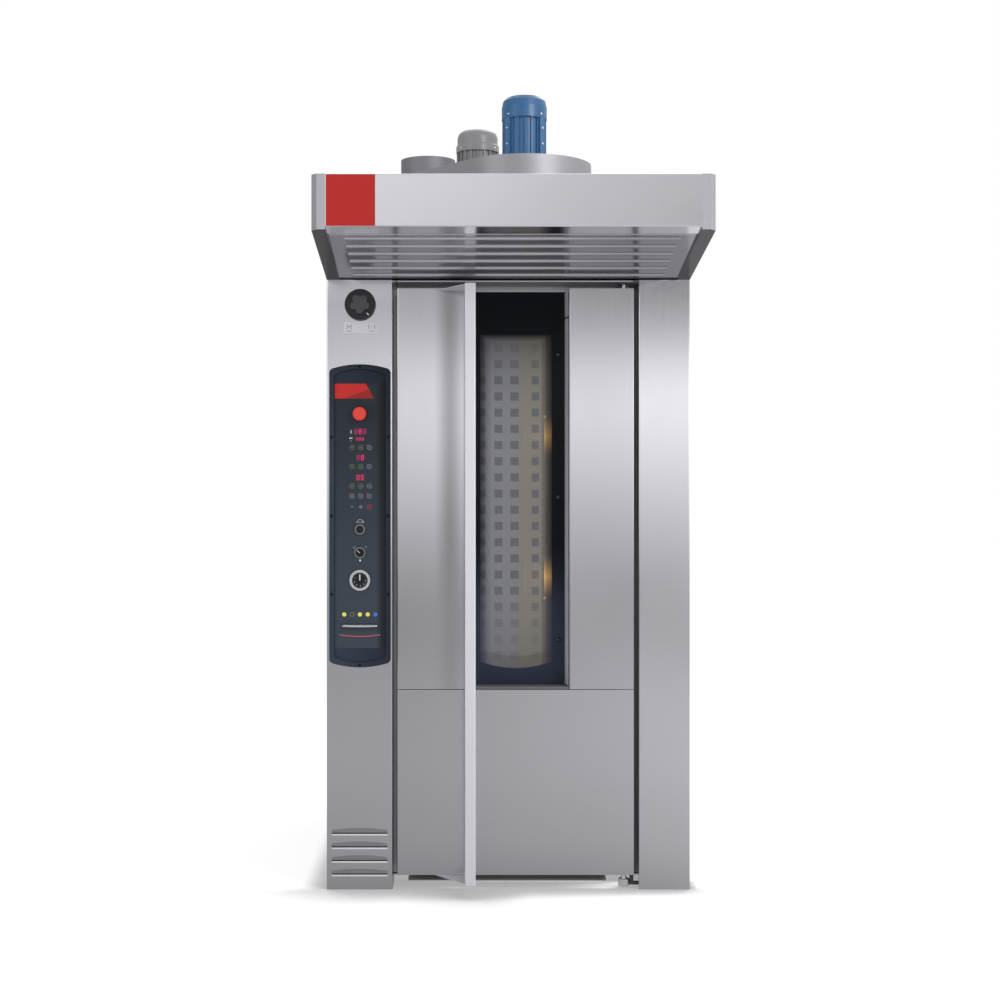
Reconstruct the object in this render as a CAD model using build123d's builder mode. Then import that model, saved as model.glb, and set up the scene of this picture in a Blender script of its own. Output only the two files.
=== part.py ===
# Rotating rack oven with a steam hood.
# Millimetres. The origin is on the floor under the rack's turning axis,
# +X to the right of someone facing the door, +Y to the back, +Z up.

import os
from math import acos, cos, pi, radians, sin, tan

from build123d import *

os.makedirs("parts", exist_ok=True)

# ---------------------------------------------------------------- cabinet
cabinet_width = 1200
cabinet_height = 2015
front_reach = 620            # rack axis to the front of the columns
rear_reach = 1030            # rack axis to the back of the cabinet
skin = 2                     # outer sheet
bend = 4                     # outside bend radius of the big folded sheets
left_column_width = 217.5
right_column_width = 169
column_depth = 142           # column face to door frame
frame_depth = 28
frame_sheet = 3
frame_foot = 30              # underside of the door frame's posts
base_setback = 80            # door frame to the base pan
lintel_lip = 5               # height of the lintel shelf's front lip
floor_sheet = 3
shaft_gap = 2                # round a shaft that passes a sheet

# ---------------------------------------------------------------- chamber
wall_thickness = 130         # cabinet's side to the chamber
chamber_floor_level = 20
roof_void = 135              # chamber ceiling to the cabinet's top
liner = 2
diffuser_reach = 470         # rack axis to the air diffuser
plenum_depth = 458
doorway_margin = 47.5        # doorway's left edge to the left column
doorway_header = 50          # chamber ceiling to the top of the doorway
ramp_length = 80             # from the door frame into the chamber
insulation_gap = 2
service_gap = 10             # round the flue box, free of insulation

# ---------------------------------------------------------------- door
door_gap = 15                # between the door's edge and each column
door_bottom = 48
door_top_gap = 28            # under the cabinet's top
door_skin_depth = 45         # folded outer panels, front to back
door_pan_depth = 85          # inner tray, front to back
door_seam_level = 661        # joint between the upper and lower panels
seam_gap = 1
pan_inset = 4                # inner tray inside the door's edge
pan_hinge_inset = 40         # the tray stops before the hinge line
handle_depth = 180           # handle's face in front of the door
handle_width = 35
handle_inset = 258.5         # door's left edge to the handle's right side
handle_lip = 26
handle_drop = 6              # door's top to the handle's top
gusset_width = 98            # end plates, left of the fin at the door's face
gusset_notch = 8             # in the panel's lower edge, over the end plate
window_inset = 214           # door's right edge to the recess
recess_draft = 10            # how far the recess narrows towards the glass
glass_depth = 80             # door face to outer glass
glass_thickness = 6
window_border = 9
window_foot = 39             # door's seam to the clear window
window_head = 87             # door's top to the clear window
glass_nut_radius = 8
glass_nut_height = 8
glass_nut_inset = 23         # from the glass's right edge
glass_nut_foot = 149         # glass's lower edge to the lowest nut
glass_nut_head = 211         # door's top to the highest nut
lamp_rise = 216              # lamp above the nut below it
lamp_radius = 8
lamp_height = 80
lamp_inset = 26
sweep_seal_height = 24
sweep_seal_thickness = 8
gasket_width = 20
gasket_clearance = 0.4
gasket_setback = 8           # gasket to the edge of the doorway

# ---------------------------------------------------------------- hinges
hinge_inset = 32             # door's right edge to the hinge line
hinge_setback = 28           # door's face to the hinge line
pin_radius = 8
pin_clearance = 0.06
pin_engagement = 30
bearing_boss_radius = 19     # turned foot under the door's lower pin
bearing_boss_foot = 6
bearing_boss_top = 34
bearing_boss_edge = 4
bracket_thickness = 8
bracket_half_width = 18
lower_bracket_level = 12
bush_half_width = 18
stop_gap = 3                 # door's underside to the stop block on the bracket

# ---------------------------------------------------------------- hood
hood_reach = 619             # in front of the columns
hood_tail = 440              # behind the columns' front
hood_rise = 230              # hood's top above the cabinet
hood_face_height = 157
cheek_width = 42
cheek_drop = 8
cheek_chamfer = 16
fascia_rim = 76
baffle_rise = 4
rib_count = 6
rib_first = 143              # hood's front to the first rib
rib_last = 46                # last rib to the columns' front
rib_width = 22
rib_depth = 6
rib_margin = 48

# ---------------------------------------------------------------- extractor
extractor_x = 57
extractor_setback = 120      # behind the columns' front
drum_radius = 225
drum_height = 167
inlet_radius = 100
collar_x = -271
collar_setback = 320
collar_radius = 94
collar_height = 60
collar_sheet = 2
volute_margin = 10           # housing's rim round the collar
impeller_radius = 170
impeller_height = 90
impeller_blades = 9
impeller_lift = 20
motor_shaft_radius = 12
shaft_engagement = 30
bore_clearance = 0.06
extractor_motor_radius = 66
extractor_motor_height = 170
extractor_cowl_height = 79
extractor_cowl_shoulder = 38
extractor_cowl_shape = ((0.94, 0.45), (0.78, 0.14), (0.5, 0))  # of its radius, of its shoulder
cowl_overlap = 14            # cowl over the motor's end shield
pad_width = 26
pad_height = 10
pad_angle = 38               # mounting pads to each side of the motor's left and right
fin_height = 8
fin_thickness = 3
fin_count = 20
motor_flange = 12

# ---------------------------------------------------------------- rack drive
gear_module = 4
wheel_teeth = 36
pinion_teeth = 12
pressure_angle = 25
tooth_backlash = 0.5
gear_face = 30
gear_lift = 30
gear_case_clearance = 10     # teeth to the inside of the case
gear_case_sheet = 4
gear_case_height = 85
rack_shaft_radius = 20
bearing_radius = 45
bearing_height = 20
reducer_radius = 70
reducer_height = 235
gearmotor_radius = 68
gearmotor_height = 240
gearmotor_cowl_height = 76
gearmotor_cowl_step = 4.5    # cup inside the skirt
gearmotor_cowl_skirt = 22
gearmotor_cowl_flare = 6     # height of the slope from the skirt to the cup
gearmotor_cowl_shoulder = 22
gearmotor_cowl_shape = ((0.93, 0.4), (0.79, 0))  # of the cup's radius, of its shoulder
terminal_box_width = 92
terminal_box_height = 70
terminal_box_depth = 40
rail_length = 300
rail_spacing = 300
rail_width = 40
rail_height = 34
rail_wall = 4
rail_slot = 16
carrier_thickness = 30
carrier_width = 60
carrier_drop = 60            # chamber ceiling to the top of the carrier

# ---------------------------------------------------------------- air circulation
fan_y = 700
fan_radius = 190
fan_wheel_height = 100
fan_drop = 80                # ceiling to the top of the wheel
fan_blades = 9
fan_shaft_radius = 15
circulation_motor_radius = 90
circulation_motor_height = 290
fan_shelf_drop = 320
fan_eye_radius = 130
blade_sheet = 3
blade_sweep = 26             # degrees from a blade's root to its tip
intake_width = 400
intake_height = 140
intake_drop = 40
slot_width = 12
slot_height = 90
slot_columns = 6
slot_rows = 9
heater_rod_radius = 10
heater_rod_pitch = 120
heater_columns = 6
heater_rows = 2
heater_channel_height = 60
heater_gap = 180             # heater bank to the fan's shelf
cascade_bars = 9
cascade_bar_size = 36
cascade_gap = 130            # cascade's top to the fan's shelf
cascade_length = 320
cascade_foot = 260

# ---------------------------------------------------------------- damper and flue
damper_inset = 111           # cabinet's left side to the damper
damper_drop = 83             # cabinet's top to the damper
damper_disc_radius = 51
damper_disc_height = 12
damper_disc_chamfer = 2
damper_grip_radius = 33
damper_grip_height = 16
damper_grip_chamfer = 1.5
damper_lobe_radius = 13
damper_lobes = 5
damper_hollow_radius = 3     # in the hollows between lobes
damper_knob_standoff = 8
damper_shaft_radius = 7
flue_y = 720
flue_radius = 50
flue_sheet = 2
flue_box_half = 60
flue_flange = 20
flue_box_height = 14
flue_height = 80             # above the roof
flap_clearance = 1

# ---------------------------------------------------------------- control panel
panel_inset = 110            # cabinet's left side to the panel's middle
panel_drop = 780             # cabinet's top to the panel's middle
bezel_width = 202
bezel_height = 1000
bezel_rise = 17
bezel_thickness = 14
bezel_pocket = 8
bezel_border = 16
bezel_corner = 16
bezel_chamfer = 2.5
membrane_width = 168
membrane_height = 874
membrane_thickness = 1.5
panel_cutout_width = 120
panel_cutout_height = 860
stem_radius = 6
stem_clearance = 0.6
stem_length = 40
estop_rise = 335.5           # above the panel's middle
estop_radius = 22.5
estop_height = 16
estop_edge = 4
estop_standoff = 14
button_drop = 45             # below the panel's middle
button_radius = 12
button_height = 5
button_chamfer = 1
button_standoff = 5
selector_drop = 122
selector_radius = 13.5
selector_height = 6
selector_bar_length = 25
selector_bar_width = 9
selector_bar_height = 12
selector_bar_angle = 135     # at rest it points up to the left
timer_drop = 213
timer_radius = 25.5
timer_height = 2.5
timer_pointer_length = 21
timer_pointer_width = 4
timer_pointer_height = 3.5
ring_width = 4.5
ring_height = 6
ring_clearance = 0.6
timer_ring_width = 8
estop_collar_width = 9
estop_collar_height = 6
grip_drop = 363
grip_width = 120
grip_height = 15
grip_standoff = 12
grip_thickness = 6
grip_edge_radius = 3
grip_leg = 15
screw_radius = 4
screw_head_height = 2.5
screw_pitch = 259
screws_per_side = 3
louvre_width = 184
louvre_rise = 20.5           # at its middle
louvre_side = 13             # height of its straight ends
louvre_relief = 6            # pressed in at its lower edge
louvre_step = 1.5            # pressed in along its arch
louvre_lip = 5               # dished edge of the casing below it
louvre_lip_depth = 0.6
louvre_count = 4
louvre_pitch = 45
louvre_foot = 48.5
louvre_inset = 108.5

# ---------------------------------------------------------------- derived places
half_width = cabinet_width / 2
front_y = -front_reach
frame_front_y = front_y + column_depth
frame_back_y = frame_front_y + frame_depth
base_front_y = frame_back_y + base_setback
rear_y = rear_reach
roof_level = cabinet_height - skin
left_column_x = -half_width + left_column_width
right_column_x = half_width - right_column_width
chamber_half = half_width - wall_thickness
floor_low = chamber_floor_level - floor_sheet
ceiling_level = cabinet_height - roof_void
plenum_back_y = diffuser_reach + plenum_depth
doorway_half = -left_column_x - doorway_margin
doorway_top = ceiling_level - doorway_header
door_left_x = left_column_x + door_gap
door_right_x = right_column_x - door_gap
door_top = cabinet_height - door_top_gap
door_skin_y = front_y + door_skin_depth
door_back_y = door_skin_y + door_pan_depth
pan_left_x = door_left_x + pan_inset
pan_right_x = door_right_x - pan_hinge_inset
handle_right_x = door_left_x + handle_inset
handle_left_x = handle_right_x - handle_width
handle_front_y = front_y - handle_depth
glass_y = front_y + glass_depth
window_right_x = door_right_x - window_inset
glass_left_x = handle_right_x + window_border
glass_right_x = window_right_x - recess_draft
glass_bottom = door_seam_level + recess_draft
window_bottom = door_seam_level + window_foot
window_top = door_top - window_head
inner_glass_y = door_back_y - skin - glass_thickness
hinge_x = door_right_x - hinge_inset
hinge_y = front_y + hinge_setback
hood_front_y = front_y - hood_reach
hood_back_y = front_y + hood_tail
hood_top = cabinet_height + hood_rise
hood_low = hood_top - hood_face_height
hood_slope = (hood_low - cabinet_height) / hood_reach
cheek_inner_x = half_width - cheek_width
extractor_y = front_y + extractor_setback
collar_y = front_y + collar_setback
drum_top = hood_top + drum_height
gear_centre = gear_module * (wheel_teeth + pinion_teeth) / 2
pinion_x = -gear_centre
gear_low = cabinet_height + gear_lift
gear_case_top = cabinet_height + gear_case_height
carrier_top = ceiling_level - carrier_drop
carrier_low = carrier_top - carrier_thickness
fan_top = ceiling_level - fan_drop
shelf_level = ceiling_level - fan_shelf_drop
damper_x = damper_inset - half_width
damper_level = cabinet_height - damper_drop
panel_x = panel_inset - half_width
panel_level = cabinet_height - panel_drop
estop_level = panel_level + estop_rise
button_level = panel_level - button_drop
selector_level = panel_level - selector_drop
timer_level = panel_level - timer_drop
grip_level = panel_level - grip_drop


def slab(x, y, z, mode=Mode.ADD):
    # a block between two corners, given as (low, high) along each axis
    with Locations(((x[0] + x[1]) / 2, (y[0] + y[1]) / 2, (z[0] + z[1]) / 2)):
        Box(x[1] - x[0], y[1] - y[0], z[1] - z[0], mode=mode)


def disc(x, y, z, radius, mode=Mode.ADD):
    # an upright round bar or hole between two levels
    with BuildSketch(Plane((x, y, z[0]))) as circle:
        Circle(radius)
    extrude(circle.sketch, amount=z[1] - z[0], mode=mode)


def face_plane(x, z, proud=0):
    # a plane on the columns' front face, looking out at the user
    return Plane(origin=(x, front_y - proud, z), x_dir=(1, 0, 0), z_dir=(0, -1, 0))


def stud(x, z, proud, radius, mode=Mode.ADD):
    # a round bar or hole that points out of the control panel
    with BuildSketch(face_plane(x, z, proud[0])) as circle:
        Circle(radius)
    extrude(circle.sketch, amount=proud[1] - proud[0], mode=mode)


def outline(points, plane, length, mode=Mode.ADD):
    # a straight-sided outline pushed along its plane's normal
    with BuildSketch(plane) as shape:
        with BuildLine():
            Polyline(*points, close=True)
        make_face()
    extrude(shape.sketch, amount=length, mode=mode)


def folded(points, radii, sheet, side, plane, length):
    # a folded sheet: a bent centre path given thickness to one side
    with BuildSketch(plane) as shape:
        with BuildLine():
            FilletPolyline(*points, radius=radii)
            offset(amount=sheet, side=side, closed=True)
        make_face()
    extrude(shape.sketch, amount=length)


def hole(x, y, radius, z):
    disc(x, y, z, radius, mode=Mode.SUBTRACT)


def teardrop(circles, z, mode=Mode.ADD):
    # a body whose outline wraps round circles given as (x, y, radius)
    with BuildSketch(Plane.XY.offset(z[0])) as wrap:
        for x, y, radius in circles:
            with Locations((x, y)):
                Circle(radius)
        make_hull()
    extrude(wrap.sketch, amount=z[1] - z[0], mode=mode)


# ================================================================ cabinet shell

with BuildPart() as base_pan:
    slab((-half_width, half_width), (base_front_y, rear_y), (0, floor_low))
    slab((-half_width + skin, half_width - skin), (base_front_y + skin, rear_y - skin),
         (floor_sheet, floor_low), mode=Mode.SUBTRACT)

with BuildPart() as front_frame:
    slab((-half_width, half_width), (frame_front_y, frame_back_y), (frame_foot, roof_level))
    slab((-doorway_half, doorway_half), (frame_front_y, frame_back_y), (frame_foot, doorway_top),
         mode=Mode.SUBTRACT)
    back_of_frame = front_frame.faces().sort_by(Axis.Y)[-1]
    offset(amount=-frame_sheet, openings=back_of_frame)
    stud(damper_x, damper_level, (-column_depth - frame_depth, -column_depth),
         damper_shaft_radius + stem_clearance, mode=Mode.SUBTRACT)
    # lintel shelf between the columns, with its front lip
    lintel_x = (left_column_x, right_column_x)
    slab(lintel_x, (front_y + skin, frame_front_y), (roof_level - frame_sheet, roof_level))
    slab(lintel_x, (front_y + skin, front_y + 2 * skin), (roof_level - lintel_lip, roof_level))



def louvre_press(deeper, wider, mode=Mode.ADD):
    # an arched hollow pressed in from the face, at the origin with its open edge down
    half, top = louvre_width / 2 + wider, louvre_rise + wider
    with BuildSketch(Plane.XZ) as arch:
        with BuildLine():
            Polyline((-half, louvre_side), (-half, 0), (half, 0), (half, louvre_side))
            ThreePointArc((half, louvre_side), (0, top), (-half, louvre_side))
        make_face()
    extrude(arch.sketch, amount=-louvre_relief - deeper, mode=mode)
    # the sheet slopes in from the arch to the open edge
    outline([(louvre_step + deeper, top + skin), (louvre_step + deeper, louvre_rise), (louvre_relief + deeper, 0),
             (louvre_relief + deeper + skin, 0), (louvre_relief + deeper + skin, top + skin)],
            Plane.YZ.offset(-half - skin), 2 * (half + skin), mode=Mode.SUBTRACT)


with BuildPart() as louvre_pan:
    louvre_press(skin, skin)

with BuildPart() as louvre_hollow:
    louvre_press(0, 0)
    # the casing's edge below the opening is dished
    outline([(0, 0), (0, -louvre_lip), (louvre_lip_depth, 0)], Plane.YZ.offset(-louvre_width / 2),
            louvre_width)

with BuildPart() as left_column_casing:
    slab((-half_width, left_column_x), (front_y, frame_front_y), (0, cabinet_height))
    fillet(left_column_casing.edges().filter_by(Axis.Z).group_by(Axis.Y)[0], radius=bend)
    slab((-half_width + skin, left_column_x - skin), (front_y + skin, frame_front_y),
         (skin, cabinet_height - skin), mode=Mode.SUBTRACT)
    louvre_spots = [(-half_width + louvre_inset, front_y, louvre_foot + louvre_pitch * step)
                    for step in range(louvre_count)]
    with Locations(*louvre_spots):
        add(louvre_pan.part)
        add(louvre_hollow.part, mode=Mode.SUBTRACT)
    with BuildSketch(face_plane(panel_x, panel_level)):
        Rectangle(panel_cutout_width, panel_cutout_height)
    extrude(amount=-skin, mode=Mode.SUBTRACT)
    stud(damper_x, damper_level, (-2 * skin, 0), damper_shaft_radius + stem_clearance, mode=Mode.SUBTRACT)

with BuildPart() as right_column_casing:
    slab((right_column_x, half_width), (front_y, frame_front_y), (0, cabinet_height))
    fillet(right_column_casing.edges().filter_by(Axis.Z).group_by(Axis.Y)[0], radius=bend)
    slab((right_column_x + skin, half_width - skin), (front_y + skin, frame_front_y),
         (skin, cabinet_height - skin), mode=Mode.SUBTRACT)

with BuildPart() as side_panels:
    for side in (-1, 1):
        edges = sorted((side * half_width, side * (half_width - skin)))
        slab(edges, (frame_back_y, rear_y - skin), (floor_low, roof_level))

with BuildPart() as rear_panel:
    slab((-half_width, half_width), (rear_y - skin, rear_y), (floor_low, roof_level))

with BuildPart() as roof_panel:
    slab((-half_width, half_width), (frame_front_y, rear_y), (roof_level, cabinet_height))
    hole(0, 0, rack_shaft_radius + shaft_gap, (roof_level, cabinet_height))
    hole(0, fan_y, fan_shaft_radius + shaft_gap, (roof_level, cabinet_height))
    hole(damper_x, flue_y, flue_radius, (roof_level, cabinet_height))

with BuildPart() as insulation:
    wall_inner = chamber_half + liner
    wall_outer = half_width - skin - insulation_gap
    wall_levels = (chamber_floor_level, ceiling_level)
    slab((-wall_outer, -wall_inner), (frame_back_y, plenum_back_y), wall_levels)
    slab((wall_inner, wall_outer), (frame_back_y, plenum_back_y), wall_levels)
    slab((-wall_outer, wall_outer), (plenum_back_y + liner, rear_y - skin - insulation_gap),
         (chamber_floor_level, roof_level - insulation_gap))
    service_edge = damper_x + flue_box_half + service_gap
    slab((service_edge, wall_outer), (frame_back_y, plenum_back_y),
         (ceiling_level + liner, roof_level - insulation_gap))
    hole(0, 0, rack_shaft_radius + shaft_gap, (ceiling_level, roof_level))
    hole(0, fan_y, fan_shaft_radius + shaft_gap, (ceiling_level, roof_level))

# ================================================================ chamber

with BuildPart() as chamber_walls:
    for side in (-1, 1):
        edges = sorted((side * chamber_half, side * (chamber_half + liner)))
        slab(edges, (frame_back_y, plenum_back_y), (chamber_floor_level, ceiling_level))
    slab((-chamber_half - liner, chamber_half + liner), (plenum_back_y, plenum_back_y + liner),
         (chamber_floor_level, ceiling_level))

with BuildPart() as chamber_ceiling:
    slab((-chamber_half - liner, chamber_half + liner), (frame_back_y, plenum_back_y + liner),
         (ceiling_level, ceiling_level + liner))
    hole(0, 0, rack_shaft_radius + shaft_gap, (ceiling_level, ceiling_level + liner))
    hole(0, fan_y, fan_shaft_radius + shaft_gap, (ceiling_level, ceiling_level + liner))
    slab((-chamber_half, damper_x + flue_box_half - flue_sheet), (flue_y - flue_radius, flue_y + flue_radius),
         (ceiling_level, ceiling_level + liner), mode=Mode.SUBTRACT)

with BuildPart() as chamber_floor:
    ramp_y = (frame_front_y, frame_front_y + ramp_length)
    slab((-chamber_half - liner, chamber_half + liner), (frame_back_y, plenum_back_y + liner),
         (floor_low, chamber_floor_level))
    slab((-doorway_half, doorway_half), (frame_back_y, ramp_y[1]), (floor_low, chamber_floor_level),
         mode=Mode.SUBTRACT)
    # the ramp up which a rack rolls in
    outline([(ramp_y[0], 0), (ramp_y[0], floor_sheet), (ramp_y[1], chamber_floor_level), (ramp_y[1], floor_low)],
            Plane.YZ.offset(-doorway_half), 2 * doorway_half)

with BuildPart() as air_diffuser:
    diffuser_y = (diffuser_reach, diffuser_reach + liner)
    slab((-chamber_half, chamber_half), diffuser_y, (chamber_floor_level, ceiling_level))
    intake_top = ceiling_level - intake_drop
    slab((-intake_width / 2, intake_width / 2), diffuser_y, (intake_top - intake_height, intake_top),
         mode=Mode.SUBTRACT)
    slot_field = intake_top - intake_height - chamber_floor_level
    slot_plane = Plane.XZ.offset(-diffuser_reach)
    with BuildSketch(slot_plane):
        with Locations((0, chamber_floor_level + slot_field / 2)):
            with GridLocations(2 * chamber_half / slot_columns, slot_field / slot_rows, slot_columns,
                               slot_rows):
                Rectangle(slot_width, slot_height)
    extrude(amount=-liner, mode=Mode.SUBTRACT)
    # shelf under the fan, with the eye it draws through
    slab((-chamber_half, chamber_half), (diffuser_reach + liner, plenum_back_y),
         (shelf_level, shelf_level + liner))
    hole(0, fan_y, fan_eye_radius, (shelf_level, shelf_level + liner))


def around(radius, degrees):
    return radius * cos(radians(degrees)), radius * sin(radians(degrees))


def fan_wheel(plane, rim, eye, height, blades, sheet):
    # back plate, shroud ring with its eye, and backward-curved blades between them
    with BuildSketch(plane) as back_plate:
        Circle(rim)
    extrude(back_plate.sketch, amount=sheet)
    with BuildSketch(plane.offset(sheet - height)) as shroud:
        Circle(rim)
        Circle(eye, mode=Mode.SUBTRACT)
    extrude(shroud.sketch, amount=sheet)
    with BuildSketch() as blade:
        with BuildLine():
            ThreePointArc(around(eye, 0), around((eye + rim) / 2, blade_sweep / 3),
                          around(rim - 2 * sheet, blade_sweep))
            offset(amount=sheet, side=Side.LEFT, closed=True)
        make_face()
    with BuildSketch(plane.offset(sheet - height)) as blade_ring:
        with PolarLocations(0, blades):
            add(blade.sketch)
    extrude(blade_ring.sketch, amount=height)


with BuildPart() as circulation_fan:
    fan_wheel(Plane((0, fan_y, fan_top - blade_sheet)), fan_radius, fan_eye_radius, fan_wheel_height,
              fan_blades, blade_sheet)
    disc(0, fan_y, (fan_top - fan_wheel_height / 2, cabinet_height + shaft_engagement), fan_shaft_radius)


def finned_motor(x, y, low, radius, height):
    # mounting flange, barrel with cooling fins, and an end shield on top
    shield_low = low + height - cowl_overlap
    middle = (low + motor_flange + shield_low) / 2
    disc(x, y, (low, low + motor_flange), radius + fin_height)
    disc(x, y, (low, shield_low), radius)
    disc(x, y, (shield_low, low + height), radius + fin_height)
    with Locations((x, y, middle)):
        with PolarLocations(radius + fin_height / 2 - fin_thickness / 2, fin_count):
            Box(fin_height + fin_thickness, fin_thickness, shield_low - low - motor_flange)


def motor_cowl(x, y, profile):
    # a turned cup over the end of the motor; profile is its outside, as (radius, level) from its rim up
    inside = [(radius - skin, level - skin) for radius, level in profile[1:]]
    inside.insert(0, (profile[0][0] - skin, profile[0][1]))
    for turned, mode in ((profile, Mode.ADD), (inside, Mode.SUBTRACT)):
        with BuildSketch(Plane(origin=(x, y, 0), x_dir=(1, 0, 0), z_dir=(0, -1, 0))) as half:
            with BuildLine():
                Polyline((0, turned[0][1]), *turned, (0, turned[-1][1]), close=True)
            make_face()
        revolve(half.sketch, axis=Axis((x, y, 0), (0, 0, 1)), mode=mode)


with BuildPart() as circulation_motor:
    finned_motor(0, fan_y, cabinet_height, circulation_motor_radius, circulation_motor_height)
    hole(0, fan_y, fan_shaft_radius + bore_clearance, (cabinet_height, cabinet_height + shaft_engagement))

# two channels carry a bank of upright heating rods
with BuildPart() as heater_bank:
    heater_x = (-heater_rod_pitch * heater_columns / 2, heater_rod_pitch * heater_columns / 2)
    heater_y = (fan_y - heater_rod_pitch * heater_rows / 2, fan_y + heater_rod_pitch * heater_rows / 2)
    lower_channel = (chamber_floor_level, chamber_floor_level + heater_channel_height)
    upper_channel = (shelf_level - heater_gap - heater_channel_height, shelf_level - heater_gap)
    hollow_x = (heater_x[0] + skin, heater_x[1] - skin)
    hollow_y = (heater_y[0] + skin, heater_y[1] - skin)
    slab(heater_x, heater_y, lower_channel)
    slab(heater_x, heater_y, upper_channel)
    slab(hollow_x, hollow_y, (lower_channel[0], lower_channel[1] - skin), mode=Mode.SUBTRACT)
    slab(hollow_x, hollow_y, (upper_channel[0] + skin, upper_channel[1]), mode=Mode.SUBTRACT)
    with Locations((0, fan_y, (lower_channel[1] + upper_channel[0]) / 2)):
        with GridLocations(heater_rod_pitch, heater_rod_pitch, heater_columns, heater_rows):
            Cylinder(heater_rod_radius, upper_channel[0] - lower_channel[1])

with BuildPart() as steam_cascade:
    cascade_y = (fan_y - cascade_length / 2, fan_y + cascade_length / 2)
    cascade_top = shelf_level - cascade_gap
    cascade_pitch = (cascade_top - cascade_foot) / cascade_bars
    slab((chamber_half - liner, chamber_half), cascade_y, (cascade_foot - cascade_pitch / 2, cascade_top))
    for bar in range(cascade_bars):
        bar_level = cascade_foot + cascade_pitch * bar
        outline([(chamber_half - liner, bar_level), (chamber_half - liner, bar_level + cascade_bar_size),
                 (chamber_half - cascade_bar_size, bar_level + cascade_bar_size / 2)],
                Plane.XZ.offset(-cascade_y[1]), cascade_length)

# ================================================================ rack drive


def involute(angle):
    return tan(angle) - angle


def gear_points(teeth, turn):
    # an involute outline with a tooth centred on the direction turn
    pitch_radius = gear_module * teeth / 2
    base_radius = pitch_radius * cos(radians(pressure_angle))
    tip_radius = pitch_radius + gear_module
    root_radius = pitch_radius - 1.25 * gear_module
    half_tooth = pi / (2 * teeth) - tooth_backlash / (2 * pitch_radius) + involute(radians(pressure_angle))
    flank_low = max(base_radius, root_radius)
    flank = sorted({root_radius} | {flank_low + (tip_radius - flank_low) * step / 3 for step in range(4)})
    points = []
    for tooth in range(teeth):
        centre = turn + 2 * pi * tooth / teeth
        right = [(radius, centre - half_tooth + involute(acos(min(1, base_radius / radius))))
                 for radius in flank]
        left = [(radius, 2 * centre - angle) for radius, angle in reversed(right)]
        points += [(radius * cos(angle), radius * sin(angle)) for radius, angle in right + left]
    return points


with BuildPart() as gear_case:
    case_wheel_radius = gear_module * (wheel_teeth / 2 + 1) + gear_case_clearance
    case_pinion_radius = reducer_radius + fin_height - gear_case_sheet
    case_roof = (gear_case_top - gear_case_sheet, gear_case_top)
    for grown, case_levels, mode in ((gear_case_sheet, (cabinet_height, gear_case_top), Mode.ADD),
                                     (0, (cabinet_height, case_roof[0]), Mode.SUBTRACT)):
        teardrop([(0, 0, case_wheel_radius + grown), (pinion_x, 0, case_pinion_radius + grown)],
                 case_levels, mode)
    hole(0, 0, rack_shaft_radius + shaft_gap, case_roof)
    hole(pinion_x, 0, motor_shaft_radius + shaft_gap, case_roof)

with BuildPart() as rack_bearing:
    disc(0, 0, (cabinet_height, cabinet_height + bearing_height), bearing_radius)
    hole(0, 0, rack_shaft_radius + bore_clearance, (cabinet_height, cabinet_height + bearing_height))

with BuildPart() as rack_shaft:
    disc(0, 0, (carrier_top, gear_case_top), rack_shaft_radius)

with BuildPart() as rack_wheel:
    outline(gear_points(wheel_teeth, 0), Plane.XY.offset(gear_low), gear_face)
    hole(0, 0, rack_shaft_radius, (gear_low, gear_low + gear_face))

with BuildPart() as drive_pinion:
    outline(gear_points(pinion_teeth, pi / pinion_teeth), Plane((pinion_x, 0, gear_low)), gear_face)
    disc(pinion_x, 0, (gear_low, gear_case_top + shaft_engagement), motor_shaft_radius)

with BuildPart() as gearmotor:
    reducer_top = gear_case_top + reducer_height
    disc(pinion_x, 0, (gear_case_top, gear_case_top + motor_flange), reducer_radius + fin_height)
    disc(pinion_x, 0, (gear_case_top, reducer_top), reducer_radius)
    finned_motor(pinion_x, 0, reducer_top, gearmotor_radius, gearmotor_height)
    terminal_low = reducer_top + motor_flange
    slab((pinion_x - terminal_box_width / 2, pinion_x + terminal_box_width / 2),
         (0, gearmotor_radius + terminal_box_depth), (terminal_low, terminal_low + terminal_box_height))
    hole(pinion_x, 0, motor_shaft_radius + bore_clearance, (gear_case_top, gear_case_top + shaft_engagement))

with BuildPart() as gearmotor_cowl:
    rim = reducer_top + gearmotor_height - cowl_overlap
    skirt_radius = gearmotor_radius + fin_height + skin
    cup_radius = skirt_radius - gearmotor_cowl_step
    crown_level = rim + gearmotor_cowl_height
    motor_cowl(pinion_x, 0, [(skirt_radius, rim), (skirt_radius, rim + gearmotor_cowl_skirt),
                             (cup_radius, rim + gearmotor_cowl_skirt + gearmotor_cowl_flare),
                             (cup_radius, crown_level - gearmotor_cowl_shoulder)]
               + [(cup_radius * out, crown_level - gearmotor_cowl_shoulder * down)
                  for out, down in gearmotor_cowl_shape])

# the carrier hangs under the shaft; the rack's top rails slide into its two channels
with BuildPart() as rack_hook:
    carrier_half = (rail_spacing + rail_width) / 2
    slab((-carrier_half, carrier_half), (-carrier_width / 2, carrier_width / 2), (carrier_low, carrier_top))
    for side in (-1, 1):
        rail_x = side * rail_spacing / 2
        rail_low = carrier_low - rail_height
        rail_y = (-rail_length / 2, rail_length / 2)
        slab((rail_x - rail_width / 2, rail_x + rail_width / 2), rail_y, (rail_low, carrier_low))
        slab((rail_x - rail_width / 2 + rail_wall, rail_x + rail_width / 2 - rail_wall), rail_y,
             (rail_low + rail_wall, carrier_low - rail_wall), mode=Mode.SUBTRACT)
        slab((rail_x - rail_slot / 2, rail_x + rail_slot / 2), rail_y, (rail_low, rail_low + rail_wall),
             mode=Mode.SUBTRACT)

# ================================================================ damper and flue

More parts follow.
